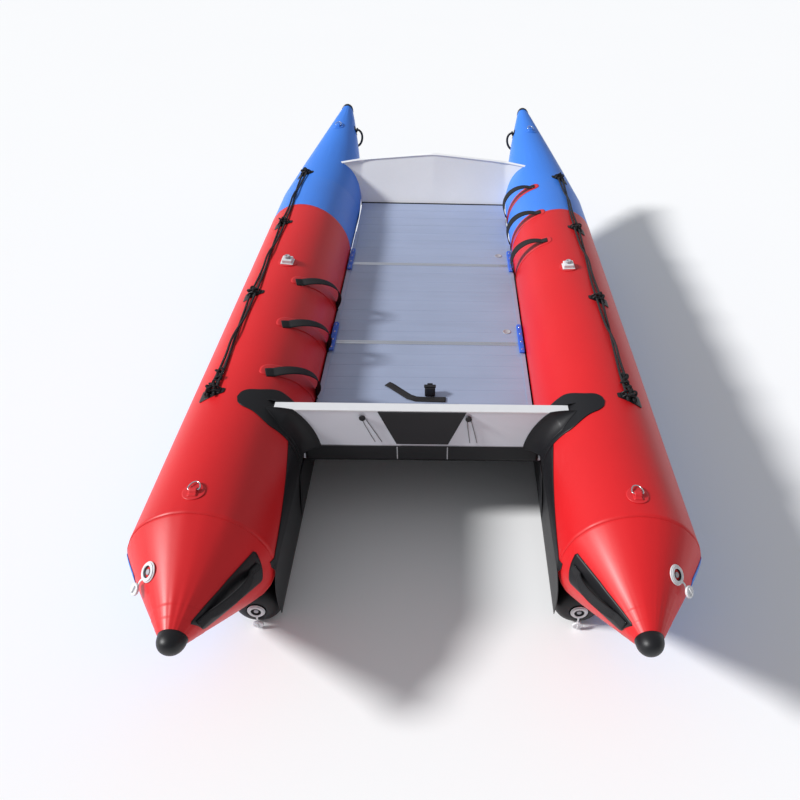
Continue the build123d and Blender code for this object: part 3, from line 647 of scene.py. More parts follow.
# Motor pads and the flap under the board
outerPad = slabMesh([(-0.170, 0.597), (0.170, 0.597), (0.102, 0.438), (-0.102, 0.438)], -0.0078, 0.0022, 3)
piece("outerMotorPad", placed(outerPad, Matrix.Translation((0, aftY - 0.0005, 0))), "black_plastic",
      ["outer_motor_pad"], smooth=False)
innerPad = slabMesh([(-0.145, 0.499), (0.145, 0.499), (0.145, 0.597), (-0.145, 0.597)], 0.0078, 0.0022, 3)
piece("innerMotorPad", placed(innerPad, Matrix.Translation((0, aftY + transom["depth"] + 0.0005, 0))),
      "black_plastic", ["inner_motor_pad"], smooth=False)
strips = [blockMesh((-0.449, aftY - 0.0014, 0.4235), (0.449, aftY - 0.0003, 0.4275), 0.0004, 1)]
for x in (-0.100, 0.100):
    strips.append(blockMesh((x - 0.002, aftY - 0.0048, 0.357), (x + 0.002, aftY - 0.0032, 0.421),
                            0.0005, 1))
piece("flapSeams", joined(strips), "grey_plastic", smooth=False)


def flapPlace(u, v):
    x = -0.466 + 0.932 * u
    swell = 0.0012 * noise.noise(Vector((x * 9, v * 2, 0.4)))
    return x, aftY - 0.0010 - abs(swell), 0.354 + 0.070 * v


wall(piece("transomFlap", sheetMesh(80, 10, flapPlace, outFrom=lambda p: (p.x, p.y + 1, p.z)),
           "black_fabric", ["transom_flap"]), 0.0022, 1.0)
print("transom")

# Drain cords: thin cords from two holes in the board round a small hook
drain = {"radius": 0.0015, "z": 0.447, "hookZ": 0.572, "y": 0.976,
         "port": (-0.186, -0.159, -0.230), "starboard": (0.188, 0.216, 0.180)}
hooks = []
for side, sign in sides:
    holeA, holeB, hookX = drain[side]
    y = drain["y"] - half
    route = [(holeA, y, drain["z"]), (hookX - 0.009, y, drain["hookZ"] - 0.002),
             (hookX - 0.001, y, drain["hookZ"] + 0.010), (hookX + 0.009, y, drain["hookZ"] - 0.001),
             (holeB, y, drain["z"])]
    cord = curvePiece(side + "DrainCord", route, drain["radius"], "grey_cord")
    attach(cord, "root")
    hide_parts("drain_cords")
    pin = spinMesh([(0, 0.0), (0.004, 0.0), (0.004, 0.0065), (0.0125, 0.0070), (0.013, 0.0085),
                    (0.0125, 0.0112), (0.011, 0.0120), (0.0, 0.0124)], 32)
    seat = seatMatrix((hookX, aftY - 0.0005, drain["hookZ"] - 0.002), (1, 0, 0), (0, -1, 0))
    hooks.append(placed(pin, seat))
piece("drainCordHooks", joined(hooks), "black_plastic", ["drain_cord_hooks"])

# Floor: extruded planks in three panels, joint profiles, stringers, clips, plugs
floor = {"z": 0.383, "half": 0.466, "plate": 0.0026, "rear": 1.032, "joints": (1.790, 2.612),
         "kink": 3.030, "front": 3.430, "rise": 0.022, "plank": 0.100, "play": 0.0025, "bevel": 0.0009,
         "rib": 0.022}


def planks(rear, front):
    count = round((front - rear) / floor["plank"])
    pitch = (front - rear) / count
    made = []
    for i in range(count):
        a = rear + pitch * i - half
        low = (-floor["half"], a + 0.0003, floor["z"] - floor["plate"])
        high = (floor["half"], a + pitch - 0.0003, floor["z"])
        made.append(blockMesh(low, high, floor["bevel"], 2))
        middle = a + pitch / 2
        under = floor["z"] - floor["plate"]
        made.append(blockMesh((-floor["half"], middle - 0.0015, under - floor["rib"]),
                              (floor["half"], middle + 0.0015, under), 0.0005, 1))
    return made


play = floor["play"]
jointA, jointB = floor["joints"]
for name, rear, front in (("Rear", floor["rear"], jointA - play), ("Middle", jointA + play, jointB - play),
                          ("Front", jointB + play, floor["kink"])):
    parts = planks(rear, front)
    if name == "Front":
        tilt = math.atan2(floor["rise"], floor["front"] - floor["kink"])
        nose = planks(floor["kink"], floor["front"])
        hinge = Vector((0, floor["kink"] - half, floor["z"]))
        turn = Matrix.Translation(hinge) @ Matrix.Rotation(tilt, 4, "X") @ Matrix.Translation(-hinge)
        parts += [placed(part, turn) for part in nose]
    piece("floorPanel" + name, joined(parts), "floor_aluminium", ["floor_" + name.lower() + "_panel"],
          smooth=False)

profiles = []
for joint in floor["joints"]:
    y = joint - half
    for a, b, top in ((-0.015, -0.0045, 0.0021), (0.0045, 0.015, 0.0021), (-0.006, 0.006, 0.0008)):
        profiles.append(blockMesh((-floor["half"], y + a, floor["z"] + 0.0002),
                                  (floor["half"], y + b, floor["z"] + top), 0.0006, 2))
    profiles.append(blockMesh((-floor["half"], y - 0.0015, floor["z"] - 0.022),
                              (floor["half"], y + 0.0015, floor["z"] + 0.0003), 0.0004, 1))
piece("floorJointProfiles", joined(profiles), "bright_aluminium", ["floor_joint_profiles"], smooth=False)

stringers = []
for side, sign in sides:
    for x0, x1, z0, z1 in ((0.468, 0.470, -0.026, 0.004), (0.450, 0.470, 0.0023, 0.0043)):
        lowX, highX = sorted((sign * x0, sign * x1))
        stringers.append(blockMesh((lowX, floor["rear"] - half, floor["z"] + z0),
                                   (highX, floor["kink"] - half, floor["z"] + z1), 0.0006, 2))
piece("floorStringers", joined(stringers), "floor_aluminium", ["floor_stringers"], smooth=False)

clips = []
screws = []
for side, sign in sides:
    for joint in floor["joints"]:
        x = sign * 0.457
        y = joint + 0.035 - half
        clips.append(blockMesh((x - 0.013, y - 0.120, floor["z"] + 0.0048),
                               (x + 0.013, y + 0.120, floor["z"] + 0.0146), 0.0030, 3))
        for at in (-0.100, -0.035, 0.035, 0.100):
            clips.append(blockMesh((x - 0.0085, y + at - 0.026, floor["z"] + 0.0140),
                                   (x + 0.0085, y + at + 0.026, floor["z"] + 0.0160), 0.0012, 2))
            screw = spinMesh([(0, 0), (0.0045, 0), (0.0045, 0.0010), (0.0034, 0.0020), (0, 0.0022)], 20)
            screws.append(placed(screw, Matrix.Translation((x, y + at, floor["z"] + 0.0158))))
piece("floorClips", joined(clips), "blue_plastic", ["floor_clips"], smooth=False)
piece("floorClipScrews", joined(screws), "steel")

plugs = []
for station in (2.737, 1.903):
    holePlug = spinMesh([(0, 0), (0.0205, 0), (0.021, 0.0008), (0.0200, 0.0022), (0.0165, 0.0024),
                         (0.0155, 0.0014), (0, 0.0014)], 40)
    plugs.append(placed(holePlug, Matrix.Translation((0.395, station - half, floor["z"] + 0.0003))))
piece("floorHolePlugs", joined(plugs), "grey_plastic", ["floor_hole_plugs"])
print("floor")

# Fabric under the floor
tunnel = {"low": 0.346, "wide": 0.953, "from": 0.981, "to": 3.496}


def tunnelPlace(u, v):
    station = tunnel["from"] + (tunnel["to"] - tunnel["from"]) * u
    x = tunnel["wide"] * (v - 0.5)
    slack = 0.0012 * noise.noise(Vector((station * 3, x * 5, 0)))
    return x, station - half, tunnel["low"] + 0.0012 + slack


underFloor = sheetMesh(120, 40, tunnelPlace, outFrom=lambda p: (p.x, p.y, p.z + 1))
underFloor = wall(piece("tunnelFabric", underFloor, "black_fabric", ["tunnel_fabric"]), 0.0016, -1.0)

# Bow dodger: one sheet up from the floor, over a crest and down to the ramp
dodger = {"foot": (3.437, 0.388), "peak": (3.560, 0.702), "fall": 5.6, "half": 0.640,
          "ramp": (3.492, 0.352), "roll": 0.012, "clear": 0.2445, "crestFrom": 0.46, "crestTo": 0.54}


def tubeGap(height):
    off = height - boat["axisZ"]
    if off >= dodger["clear"] - 0.002:
        return dodger["half"]
    reach = boat["axisX"] - math.sqrt(max(0.0, dodger["clear"] ** 2 - off**2))
    return min(dodger["half"], reach)


# The crest falls to each side, and its ends lean back
def crestAt(across, x):
    return dodger["peak"][1] - abs(across) * x * math.tan(math.radians(dodger["fall"])) - dodger["roll"]


def lean(across, x):
    return 0.045 * max(0.0, abs(across) * x - 0.47) / 0.17


# Half width and height at a share of the way up, between the sponsons
def dodgerSpan(across, low, share, x):
    for step in range(4):
        top = crestAt(across, x)
        z = low + (top - low) * share
        x = tubeGap(z)
        x += (dodger["half"] - x) * share**14
    return x, z


def dodgerPlace(u, v):
    across = 2 * u - 1
    peakY, roll = dodger["peak"][0], dodger["roll"]
    if v < dodger["crestFrom"]:
        s = v / dodger["crestFrom"]
        y0, z0 = dodger["foot"]
        x, z = dodgerSpan(across, z0, s, tubeGap(z0 + (dodger["peak"][1] - z0) * s))
        y = y0 + (peakY - roll - y0) * s
        hollow = -0.006 * math.sin(math.pi * s) * (1 - abs(across) ** 3)
        fold = 0.0018 * noise.noise(Vector((across * 2.2, s * 1.5, 1.0)))
        return across * x, y - hollow * 0.6 - lean(across, x) * s - half, z + hollow * 0.3 + fold
    if v < dodger["crestTo"]:
        x = dodger["half"]
        a = math.pi * (v - dodger["crestFrom"]) / (dodger["crestTo"] - dodger["crestFrom"])
        y = peakY - roll * math.cos(a) - lean(across, x)
        return across * x, y - half, crestAt(across, x) + 0.0125 * math.sin(a)
    s = (v - dodger["crestTo"]) / (1 - dodger["crestTo"])
    y1, z1 = dodger["ramp"]
    x, z = dodgerSpan(across, z1, 1 - s, tubeGap(z1))
    y0 = peakY + roll
    return across * x, y0 + (y1 - y0) * s - lean(across, x) * (1 - s) - half, z


def dodgerInside(point):
    return point.x, 1.385, 0.50


dodgerMesh = sheetMesh(96, 76, dodgerPlace, outFrom=dodgerInside)
dodgerArea = sum(face.calc_area() for face in dodgerMesh.faces)
dodgerPiece = wall(piece("bowDodger", dodgerMesh, "white_fabric", ["bow_dodger"]), 0.0018, -1.0)

hemY = dodger["foot"][0] - 0.002 - half
hem = blockMesh((-0.470, hemY - 0.003, 0.3995), (0.470, hemY + 0.002, 0.4095), 0.001, 2)
piece("dodgerHem", hem, "black_plastic", smooth=False)
crest = []
for share in (-1.0, -0.86, -0.72, -0.4, -0.06, 0.06, 0.4, 0.72, 0.86, 1.0):
    x, y, z = dodgerPlace((share + 1) / 2, 0.47)
    crest.append((x, y - 0.001, z + 0.001))
piece("dodgerCrestPiping", wireMesh(crest, 0.0032, False, 3), "white_fabric")
print("dodger")

# Fuel tank strap and buckle
tank = {"wide": 0.034, "thick": 0.0024}


# Flat webbing along a few points on the floor
def ribbon(points, wide, lift=0.0006):
    def place(u, v):
        at = u * (len(points) - 1)
        i = min(int(at), len(points) - 2)
        a, b = Vector(points[i]), Vector(points[i + 1])
        s = at - i
        here = a.lerp(b, s)
        before = Vector(points[max(0, i - 1)]) if s < 0.5 else a
        after = b if s < 0.5 else Vector(points[min(len(points) - 1, i + 2)])
        along = (after - before).normalized()
        sideways = Vector((-along.y, along.x, 0)).normalized()
        wave = 0.0012 * math.sin(u * 14.0) + 0.0012
        return here + sideways * wide * (v - 0.5) + Vector((0, 0, lift + wave))
    return sheetMesh(60, 4, place, outFrom=lambda p: (p.x, p.y, p.z - 1))


z = floor["z"]
path = [(-0.172, 1.448 - half, z), (-0.150, 1.430 - half, z), (-0.105, 1.388 - half, z),
        (-0.070, 1.352 - half, z), (-0.040, 1.338 - half, z), (0.020, 1.336 - half, z),
        (0.092, 1.334 - half, z)]
wall(piece("fuelTankStrap", ribbon(path, tank["wide"]), "black_webbing",
           ["fuel_tank_strap"]), tank["thick"], 1.0)
buckle = [blockMesh((-0.001, 1.357 - half, z + 0.0012), (0.045, 1.387 - half, z + 0.044), 0.004, 4),
          blockMesh((0.004, 1.3505 - half, z + 0.012), (0.040, 1.357 - half, z + 0.050), 0.0025, 3),
          blockMesh((0.010, 1.387 - half, z + 0.018), (0.034, 1.3925 - half, z + 0.051), 0.0025, 3),
          blockMesh((-0.004, 1.362 - half, z + 0.044), (0.048, 1.382 - half, z + 0.0515), 0.003, 3)]
piece("fuelTankBuckle", joined(buckle), "black_plastic", ["fuel_tank_buckle"], smooth=False)


# Flat patches that follow the skin: a point past a round corner is drawn in to it
def roundCorner(s, t, halfS, halfT, corner):
    over = abs(s) - (halfS - corner), abs(t) - (halfT - corner)
    if min(over) <= 0:
        return s, t
    reach = math.hypot(*over)
    fit = max(over) / reach if reach else 1.0
    return (math.copysign(halfS - corner + over[0] * fit, s),
            math.copysign(halfT - corner + over[1] * fit, t))


# A patch halfS along and halfT around the skin, with round corners
def skinPatch(sign, station, angle, halfS, halfT, corner, lift=0.0006, cells=14):
    radius = section(station)[2]

    def place(u, v):
        s, t = roundCorner((2 * u - 1) * halfS, (2 * v - 1) * halfT, halfS, halfT, corner)
        return skinPoint(sign, station + s, angle + math.degrees(t / radius), lift)
    return sheetMesh(cells, cells, place, outFrom=axisOf(sign))


# Life lines: two strands a side through lugs on four patches, knotted at each
lifeLine = {"angle": 21.0, "radius": 0.005, "patches": (1.047, 1.815, 2.598, 3.333), "length": 2.338,
            "lug": ((-0.030, 0.001), (-0.027, 0.012), (-0.014, 0.0185), (0.014, 0.0185),
                    (0.027, 0.012), (0.030, 0.001))}
strandA = (
    (1018, 13, 11.0), (1082, 14, 10.0), (1198, 11, 7.0), (1315, 7, 9.0), (1390, 3, 20.0),
    (1475, -4, 20.5), (1550, -8, 9.5), (1665, -10, 6.8), (1780, -13, 10.0), (1850, -14, 10.5),
    (1970, -11, 6.9), (2085, -6, 6.7), (2165, -2, 6.9), (2250, 3, 6.7), (2330, 7, 7.0),
    (2447, 11, 6.8), (2563, 13, 10.0), (2633, 14, 10.5), (2745, 10, 7.0), (2855, 6, 9.0),
    (2925, 2, 20.0), (3005, -3, 20.5), (3080, -7, 9.5), (3190, -11, 7.1), (3298, -13, 10.0),
    (3352, -14, 10.5),
)
strandB = (
    (1012, -14, 10.7), (1082, -13, 10.1), (1195, -12, 6.8), (1312, -6, 6.9), (1392, -2, 6.7),
    (1472, 3, 6.8), (1552, 7, 6.9), (1668, 11, 7.1), (1780, 14, 10.1), (1850, 13, 10.3),
    (1968, 11, 7.1), (2088, 7, 9.0), (2168, 3, 20.4), (2248, -3, 20.2), (2328, -8, 9.2),
    (2450, -11, 7.0), (2563, -14, 10.1), (2633, -13, 10.3), (2748, -11, 6.9), (2858, -7, 6.8),
    (2928, -2, 6.9), (3008, 3, 6.7), (3083, 8, 7.0), (3188, 11, 7.2), (3298, 14, 10.1),
    (3346, 13, 10.5),
)


def strandRoute(sign, strand):
    route = []
    for station, across, height in strand:
        station /= 1000
        angle = lifeLine["angle"] + math.degrees(across / 1000 / section(station)[2])
        route.append(skinPoint(sign, station, angle, height / 1000))
    return route


patches = []
lugs = []
knots = []
for side, sign in sides:
    for name, strand in (("A", strandA), ("B", strandB)):
        route = strandRoute(sign, strand)
        rope = curvePiece(side + "LifeLine" + name, route, lifeLine["radius"], "black_rope")
        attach(rope, "root")
        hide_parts(side + "_life_line")
    for i, station in enumerate(lifeLine["patches"]):

        def kite(u, v):
            s, t = roundCorner((2 * u - 1) * 0.036, (2 * v - 1) * 0.052, 0.036, 0.052, 0.010)
            narrow = 1 - 0.62 * (t / 0.052 * 0.5 + 0.5) ** 1.4
            angle = lifeLine["angle"] + math.degrees((-t + 0.004) / boat["radius"])
            return skinPoint(sign, station + s * narrow, angle, 0.0006)
        patches.append(sheetMesh(16, 18, kite, outFrom=axisOf(sign)))
        seat = skinSeat(sign, station, lifeLine["angle"], 0.002)
        for at in (-0.0125, 0.0125):
            arch = wireMesh([(at, y, z) for y, z in lifeLine["lug"]], 0.0036, False)
            lugs.append(placed(arch, seat))
        lugs.append(placed(blockMesh((-0.018, -0.034, 0.0), (0.018, 0.034, 0.0045), 0.002, 3), seat))
        places = [(0.0, 0.0)] if i else [(0.0, 0.0), (0.050, 0.006), (0.088, -0.006), (0.132, 0.004)]
        for j, (ahead, across) in enumerate(places):
            size = 0.0105 if j == 0 else 0.0085
            loops = []
            for k in range(22):
                t = math.tau * k / 22
                loops.append((size * (math.sin(t) + 1.7 * math.sin(2 * t)) * 0.72,
                              size * (math.cos(t) - 1.7 * math.cos(2 * t)) * 0.72,
                              size * (0.95 - 0.75 * math.sin(3 * t))))
            height = 0.016 if j == 0 else 0.004
            angle = lifeLine["angle"] + math.degrees(across / boat["radius"])
            knotSeat = skinSeat(sign, station + ahead, angle, height)
            spin = Matrix.Rotation(1.1 * i + 0.8 * j, 4, "Z")
            knots.append(placed(wireMesh(loops, 0.0046, True, 3), knotSeat @ spin))
wall(piece("lifeLinePatches", joined(patches), "black_rubber", ["life_line_patches"]), 0.0026, 1.0)
piece("lifeLineLugs", joined(lugs), "black_rubber", ["life_line_patches"])
piece("lifeLineKnots", joined(knots), "black_rope")
print("life lines")

# Foot straps on backing patches
footStrap = {"wide": 0.040, "thick": 0.0028, "rise": 0.082, "top": -28, "low": -86, "tab": 7.0,
             "port": ((1.197, 1.333), (1.563, 1.700), (1.946, 2.084)),
             "starboard": ((2.448, 2.456), (2.818, 2.824), (3.208, 3.212))}
straps = []
backings = []
for side, sign in sides:
    for count, (topStation, lowStation) in enumerate(footStrap[side]):
        top = skinPoint(sign, topStation, footStrap["top"], 0.0065)
        low = skinPoint(sign, lowStation, footStrap["low"], 0.0065)
        chord = low - top
        reach = chord.length / 2
        middle = (top + low) / 2
        outward = skinPoint(sign, (topStation + lowStation) / 2, -57, 0.05) - middle
        xDir = chord.normalized()
        up = (outward - xDir * outward.dot(xDir)).normalized()
        across = xDir.cross(up)
        rise = footStrap["rise"]
        bow = (reach**2 + rise**2) / (2 * rise)
        spread = math.atan2(reach, bow - rise)

        def strapPlace(u, v):
            wide = (v - 0.5) * footStrap["wide"]
            if 0.15 <= u <= 0.85:
                a = spread * ((u - 0.15) / 0.35 - 1)
                here = middle + xDir * bow * math.sin(a) + up * (rise - bow * (1 - math.cos(a)))
                lean = 0.012 * math.sin(math.pi * (u - 0.15) / 0.7)
                return here + across * wide + up * lean * (v - 0.5)
            tab = footStrap["tab"] / 58  # the foot lies flat on the skin
            share = (u - 0.15) / 0.15 * tab if u < 0.15 else 1 + (u - 0.85) / 0.15 * tab
            station = topStation + (lowStation - topStation) * share
            angle = footStrap["top"] + (footStrap["low"] - footStrap["top"]) * share
            base = skinPoint(sign, station, angle, 0.0035 + 0.003 * (1 - abs(min(u, 1 - u) / 0.15 - 1)))
            return base + across * wide
        straps.append(sheetMesh(60, 5, strapPlace, outFrom=axisOf(sign)))

        def backPlace(u, v):
            t, s = roundCorner((2 * u - 1) * 0.150, (2 * v - 1) * 0.037, 0.150, 0.037, 0.030)
            share = 0.5 + t / 0.300
            station = topStation + (lowStation - topStation) * share
            return skinPoint(sign, station + s, -15 - 78 * share, 0.0007)
        backings.append(sheetMesh(40, 12, backPlace, outFrom=axisOf(sign)))
wall(piece("footStraps", joined(straps), "black_webbing", ["foot_straps"]), footStrap["thick"], 1.0)
wall(piece("strapPatches", joined(backings), "red_patch", ["strap_patches"]), 0.0012, 1.0)

# Carry handles
carry = {"bow": 4.050, "bowTop": -70, "bowLow": -134, "stern": 0.218, "sternAngle": -76}
bowHandles = []
sternHandles = []
handlePads = []
for side, sign in sides:
    top = skinPoint(sign, carry["bow"], carry["bowTop"], 0.006)
    low = skinPoint(sign, carry["bow"], carry["bowLow"], 0.006)
    chord = (low - top).normalized()
    reach = (low - top).length / 2
    outward = (skinPoint(sign, carry["bow"], -102, 0.08) - (top + low) / 2).normalized()
    middle = (top + low) / 2
    loop = []
    for share in range(17):
        a = math.pi * share / 16
        loop.append(middle - chord * (reach + 0.004) * math.cos(a)
                    + outward * (0.050 * math.sin(a) ** 0.75 - 0.001))
    bowHandles.append(wireMesh(loop, 0.0075, False, 4))
    for end in (top, low):
        seat = seatMatrix(end + outward * 0.002, (0, 1, 0), outward)
        bowHandles.append(placed(blockMesh((-0.020, -0.011, -0.004), (0.020, 0.011, 0.008), 0.004, 3), seat))
    for angle in (carry["bowTop"] - 1, carry["bowLow"] + 1):
        handlePads.append(skinPatch(sign, carry["bow"], angle, 0.028, 0.020, 0.012))

    def sternBand(u, v):
        station = carry["stern"] - 0.118 + 0.236 * u
        wide = (v - 0.5) * 0.030
        stand = max(0.0, math.sin(math.pi * min(1.0, max(0.0, (u - 0.16) / 0.68))))
        rise = 0.005 + 0.030 * stand**0.7
        angle = carry["sternAngle"] + math.degrees(wide / section(station)[2])
        return skinPoint(sign, station, angle, rise)
    sternHandles.append(sheetMesh(60, 5, sternBand, outFrom=axisOf(sign)))

    def sternPad(u, v):
        t = 2 * v - 1
        s = roundCorner((2 * u - 1) * 0.125, t, 0.125, 1.0, 0.02)[0]
        station = carry["stern"] + 0.004 + s
        wide = 0.030 + 0.034 * (u**0.8)
        angle = carry["sternAngle"] - 3 + math.degrees(t * wide / section(station)[2])
        return skinPoint(sign, station + 0.012 * t * (1 if u > 0.5 else -1), angle, 0.0008)
    handlePads.append(sheetMesh(40, 14, sternPad, outFrom=axisOf(sign)))
piece("bowHandles", joined(bowHandles), "black_plastic", ["bow_handles"])
wall(piece("sternHandles", joined(sternHandles), "black_webbing", ["stern_handles"]), 0.005, 1.0)
wall(piece("handlePatches", joined(handlePads), "black_rubber", ["handle_patches"]), 0.0022, 1.0)
print("straps and handles")

# D-rings on their tabs
ring = {"wire": 0.0025, "half": 0.019, "reach": 0.034, "height": 0.009,
        "places": (("bow", 3.975, 4.0), ("stern", 0.492, 2.0))}
tabs = {"bow": [], "stern": []}
for side, sign in sides:
    for end, station, angle in ring["places"]:
        seat = skinSeat(sign, station, angle)
        h, r = ring["half"], ring["reach"]
        loop = [(0, 0, 0), (0, -h, 0), (0.016, -h - 0.001, 0), (r + 0.004, -0.010, 0),
                (r + 0.004, 0.010, 0), (0.016, h + 0.001, 0), (0, h, 0)]
        raised = seat @ Matrix.Translation((0, 0, ring["height"]))
        wire = placed(wireMesh(loop, ring["wire"], True, 4), raised)
        piece(side + end.capitalize() + "DRing", wire, "steel", [side + "_" + end + "_d_ring"],
              body=side + "_" + end + "_d_ring")
        tabs[end].append(skinPatch(sign, station, angle, 0.038, 0.038, 0.0379, cells=20))
        tabs[end].append(skinPatch(sign, station, angle, 0.024, 0.017, 0.004, lift=0.0022, cells=8))

        def hump(u, v):
            x = -0.022 + 0.034 * u
            over = max(0.0, 1 - (x / 0.0105) ** 2)
            return seat @ Vector((x, (v - 0.5) * 0.027, 0.0034 + 0.0098 * over**0.6))
        tabs[end].append(sheetMesh(30, 6, hump, outFrom=axisOf(sign)))
wall(piece("sternRingTabs", joined(tabs["stern"]), "red_patch", ["d_ring_tabs"]), 0.0014, 1.0)
wall(piece("bowRingTabs", joined(tabs["bow"]), "blue_fabric", ["d_ring_tabs"]), 0.0014, 1.0)

# Oarlocks: block and turning knob on a round patch
oarlock = {"station": 2.115, "angle": -4.0,
           "knob": ((0, 0.0228), (0.0062, 0.0228), (0.0062, 0.0245), (0.0135, 0.0245), (0.0148, 0.0262),
                    (0.0150, 0.0330), (0.0135, 0.0355), (0.0080, 0.0362), (0.0072, 0.0345), (0, 0.0343))}


# Finger grips round a turned rim
def gripped(mesh, beyond, count, depth, power):
    for vert in mesh.verts:
        if math.hypot(vert.co.x, vert.co.y) > beyond:
            turn = math.atan2(vert.co.y, vert.co.x)
            dip = 1 - depth * max(0.0, math.cos(count * turn)) ** power
            vert.co.x *= dip
            vert.co.y *= dip
    return mesh


rounds = []
blocks = []
for side, sign in sides:
    seat = skinSeat(sign, oarlock["station"], oarlock["angle"])
    rounds.append(skinPatch(sign, oarlock["station"], oarlock["angle"], 0.047, 0.047, 0.0469, cells=24))
    blocks.append(placed(blockMesh((-0.026, -0.026, 0.0015), (0.026, 0.026, 0.0225), 0.005, 4), seat))
    blocks.append(placed(blockMesh((-0.031, -0.031, 0.0012), (0.031, 0.031, 0.0048), 0.0015, 2), seat))
    knob = gripped(spinMesh(oarlock["knob"], 48), 0.012, 6, 0.11, 2)
    piece(side + "OarlockKnob", placed(knob, seat), "grey_plastic", [side + "_oarlock_knob"],
          body=side + "_oarlock_knob")
wall(piece("oarlockPatches", joined(rounds), "red_patch", ["oarlock_patches"]), 0.0016, 1.0)
piece("oarlockBlocks", joined(blocks), "white_plastic", ["oarlock_blocks"], smooth=False)
print("rings and oarlocks")

# Valves: flanged body, sprung plunger, tethered cap
valve = {
    "station": 0.240, "angle": 42.0, "springWire": 0.0008, "springRadius": 0.0062, "springTurns": 5,
    "flange": ((0.0235, 0.0016), (0.0325, 0.0010), (0.0328, 0.0022), (0.0312, 0.0040), (0.0290, 0.0046),
               (0.0265, 0.0040), (0.0250, 0.0052), (0.0240, 0.0080), (0.0222, 0.0086), (0.0195, 0.0078),
               (0.0185, 0.0050), (0.0190, 0.0030), (0.0235, 0.0016)),
    "barrel": ((0.0182, 0.0060), (0.0225, 0.0030), (0.0225, -0.0280), (0.0100, -0.0280),
               (0.0095, -0.0255), (0.0178, -0.0250), (0.0182, 0.0060)),
    "plunger": ((0, -0.0330), (0.0138, -0.0330), (0.0140, -0.0300), (0.0120, -0.0286), (0.0036, -0.0284),
                (0.0034, 0.0010), (0.0085, 0.0012), (0.0092, 0.0024), (0.0088, 0.0044), (0.0068, 0.0050),
                (0.0030, 0.0042), (0, 0.0042)),
    "collar": ((0.0245, 0.0056), (0.0282, 0.0052), (0.0292, 0.0062), (0.0284, 0.0074), (0.0250, 0.0076),
               (0.0245, 0.0056)),
    "lid": ((0, 0.0046), (0.0150, 0.0046), (0.0162, 0.0052), (0.0190, 0.0056), (0.0198, 0.0070),
            (0.0198, 0.0118), (0.0182, 0.0134), (0.0120, 0.0136), (0.0105, 0.0124), (0, 0.0122)),
}
flanges = []
barrels = []
for side, sign in sides:
    runnerEnd = (sign * runner["x"], runner["end"] - half, runner["radius"])
    seats = (("Stern", skinSeat(sign, valve["station"], valve["angle"])),
             ("Runner", seatMatrix(runnerEnd, (1, 0, 0), (0, -1, 0))))
    for place, seat in seats:
        flanges.append(placed(spinMesh(valve["flange"], 64), seat))
        barrels.append(placed(spinMesh(valve["barrel"], 48), seat))
        for k in range(3):
            a = math.tau * k / 3 + 0.4
            bar = blockMesh((0.0085, -0.0016, -0.0250), (0.0184, 0.0016, -0.0040), 0.0006, 2)
            barrels.append(placed(bar, seat @ Matrix.Rotation(a, 4, "Z")))
        stem = side + place
        node = side + "_" + place.lower() + "_valve_"
        plunger = placed(spinMesh(valve["plunger"], 40), seat)
        piece(stem + "ValvePlunger", plunger, "grey_plastic", [node + "plunger"], body=node + "plunger")
        zDir = seat.to_3x3() @ Vector((0, 0, 1))
        coil = bmesh.new()
        bmesh.ops.create_circle(coil, cap_ends=True, segments=10, radius=valve["springWire"])
        bmesh.ops.rotate(coil, matrix=Matrix.Rotation(math.pi / 2, 3, "X"), verts=coil.verts)
        bmesh.ops.translate(coil, vec=(valve["springRadius"], 0, -0.0236), verts=coil.verts)
        turns = valve["springTurns"] * 24
        bmesh.ops.spin(coil, geom=coil.verts[:] + coil.edges[:] + coil.faces[:], cent=(0, 0, 0),
                       axis=(0, 0, 1), dvec=(0, 0, 0.0222 / turns), steps=turns,
                       angle=math.tau * valve["springTurns"])
        bmesh.ops.recalc_face_normals(coil, faces=coil.faces)
        spring = piece(stem + "ValveSpring", placed(coil, seat), "spring_steel", [node + "spring"])
        node + "plunger_slide"
        tuple(seat @ Vector((0, 0, -0.0244)))
        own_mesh(spring)
        down = Vector((0, 0, -1)) - zDir * Vector((0, 0, -1)).dot(zDir)
        hang = seatMatrix(seat.translation, down, zDir)

        def tether(u, v):
            x = 0.027 + 0.024 * u
            return Vector((x, (v - 0.5) * (0.009 - 0.003 * math.sin(math.pi * u)),
                           0.0064 + 0.0035 * math.sin(math.pi * u)))
        strap = sheetMesh(12, 3, tether, outFrom=lambda p: (p.x, p.y, -1))
        bmesh.ops.solidify(strap, geom=strap.faces[:], thickness=0.0014)
        bmesh.ops.recalc_face_normals(strap, faces=strap.faces)
        lid = gripped(spinMesh(valve["lid"], 60), 0.0175, 15, 0.035, 1)
        tilt = Matrix.Translation((0.067, 0, 0)) @ Matrix.Rotation(0.10, 4, "Y")
        wing = blockMesh((-0.0130, -0.0022, 0.0120), (0.0130, 0.0022, 0.0176), 0.0012, 2)
        collar = spinMesh(valve["collar"], 56)
        cap = joined([collar, strap, placed(lid, tilt), placed(wing, tilt)])
        piece(stem + "ValveCap", placed(cap, hang), "white_plastic", [node + "cap"], body=node + "cap")
piece("valveFlanges", joined(flanges), "white_plastic", ["valve_bodies"])
piece("valveBarrels", joined(barrels), "black_plastic", ["valve_bodies"])
print("valves")

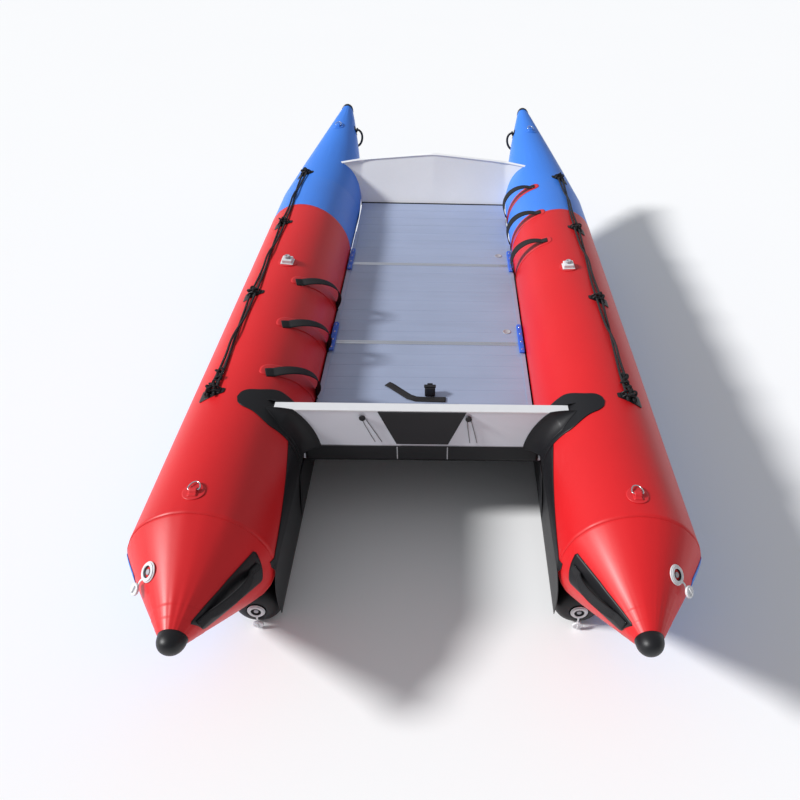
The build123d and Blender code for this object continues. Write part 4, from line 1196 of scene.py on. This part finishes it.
# Pale floor, light and camera
stage = bmesh.new()
bmesh.ops.create_grid(stage, x_segments=1, y_segments=1, size=40)
stageData = bpy.data.meshes.new("stage")
stage.to_mesh(stageData)
stage.free()
ground = Finish("paleFloor", (0.93, 0.93, 0.93), 0.85, 0.0, 0.1)
stageData.materials.append(ground.close(ground.blend(ground.speckle(0.5) * 0.3, (0.94, 0.94, 0.94, 1),
                                                      (0.90, 0.90, 0.91, 1))))
stageObject = bpy.data.objects.new("stage", stageData)
scene.collection.objects.link(stageObject)

light = {"sky": 0.40, "key": 3.7, "keyAngle": 9.0, "from": (-0.84, -0.10, 0.58)}
world = bpy.data.worlds.new("studio")
scene.world = world
world.use_nodes = True
world.node_tree.nodes["Background"].inputs["Color"].default_value = (0.92, 0.95, 1.0, 1)
world.node_tree.nodes["Background"].inputs["Strength"].default_value = light["sky"]
key = bpy.data.lights.new("key", "SUN")
key.energy = light["key"]
key.angle = math.radians(light["keyAngle"])
keyObject = bpy.data.objects.new("key", key)
keyObject.rotation_euler = Vector(light["from"]).to_track_quat("Z", "Y").to_euler()
scene.collection.objects.link(keyObject)

view = {"at": (0.08, -3.43, 2.39), "yaw": 2.0, "pitch": 37.0, "roll": -1.9, "lens": 33.75,
        "shift": (-0.08, -0.0075)}
yaw, pitch, roll = (math.radians(view[k]) for k in ("yaw", "pitch", "roll"))
ahead = Vector((math.sin(yaw) * math.cos(pitch), math.cos(yaw) * math.cos(pitch), -math.sin(pitch)))
right = Vector((math.cos(yaw), -math.sin(yaw), 0))
down = ahead.cross(right)
tiltRight = right * math.cos(roll) + down * math.sin(roll)
tiltDown = down * math.cos(roll) - right * math.sin(roll)
scene.view_settings.view_transform = "Standard"
camera = bpy.data.cameras.new("camera")
camera.sensor_width = 36
camera.lens = view["lens"]
camera.shift_x, camera.shift_y = view["shift"]
camera.clip_end = 100
cameraObject = bpy.data.objects.new("camera", camera)
turn = Matrix((tiltRight, -tiltDown, -ahead)).transposed().to_4x4()
cameraObject.matrix_world = Matrix.Translation(view["at"]) @ turn
scene.collection.objects.link(cameraObject)
scene.camera = cameraObject
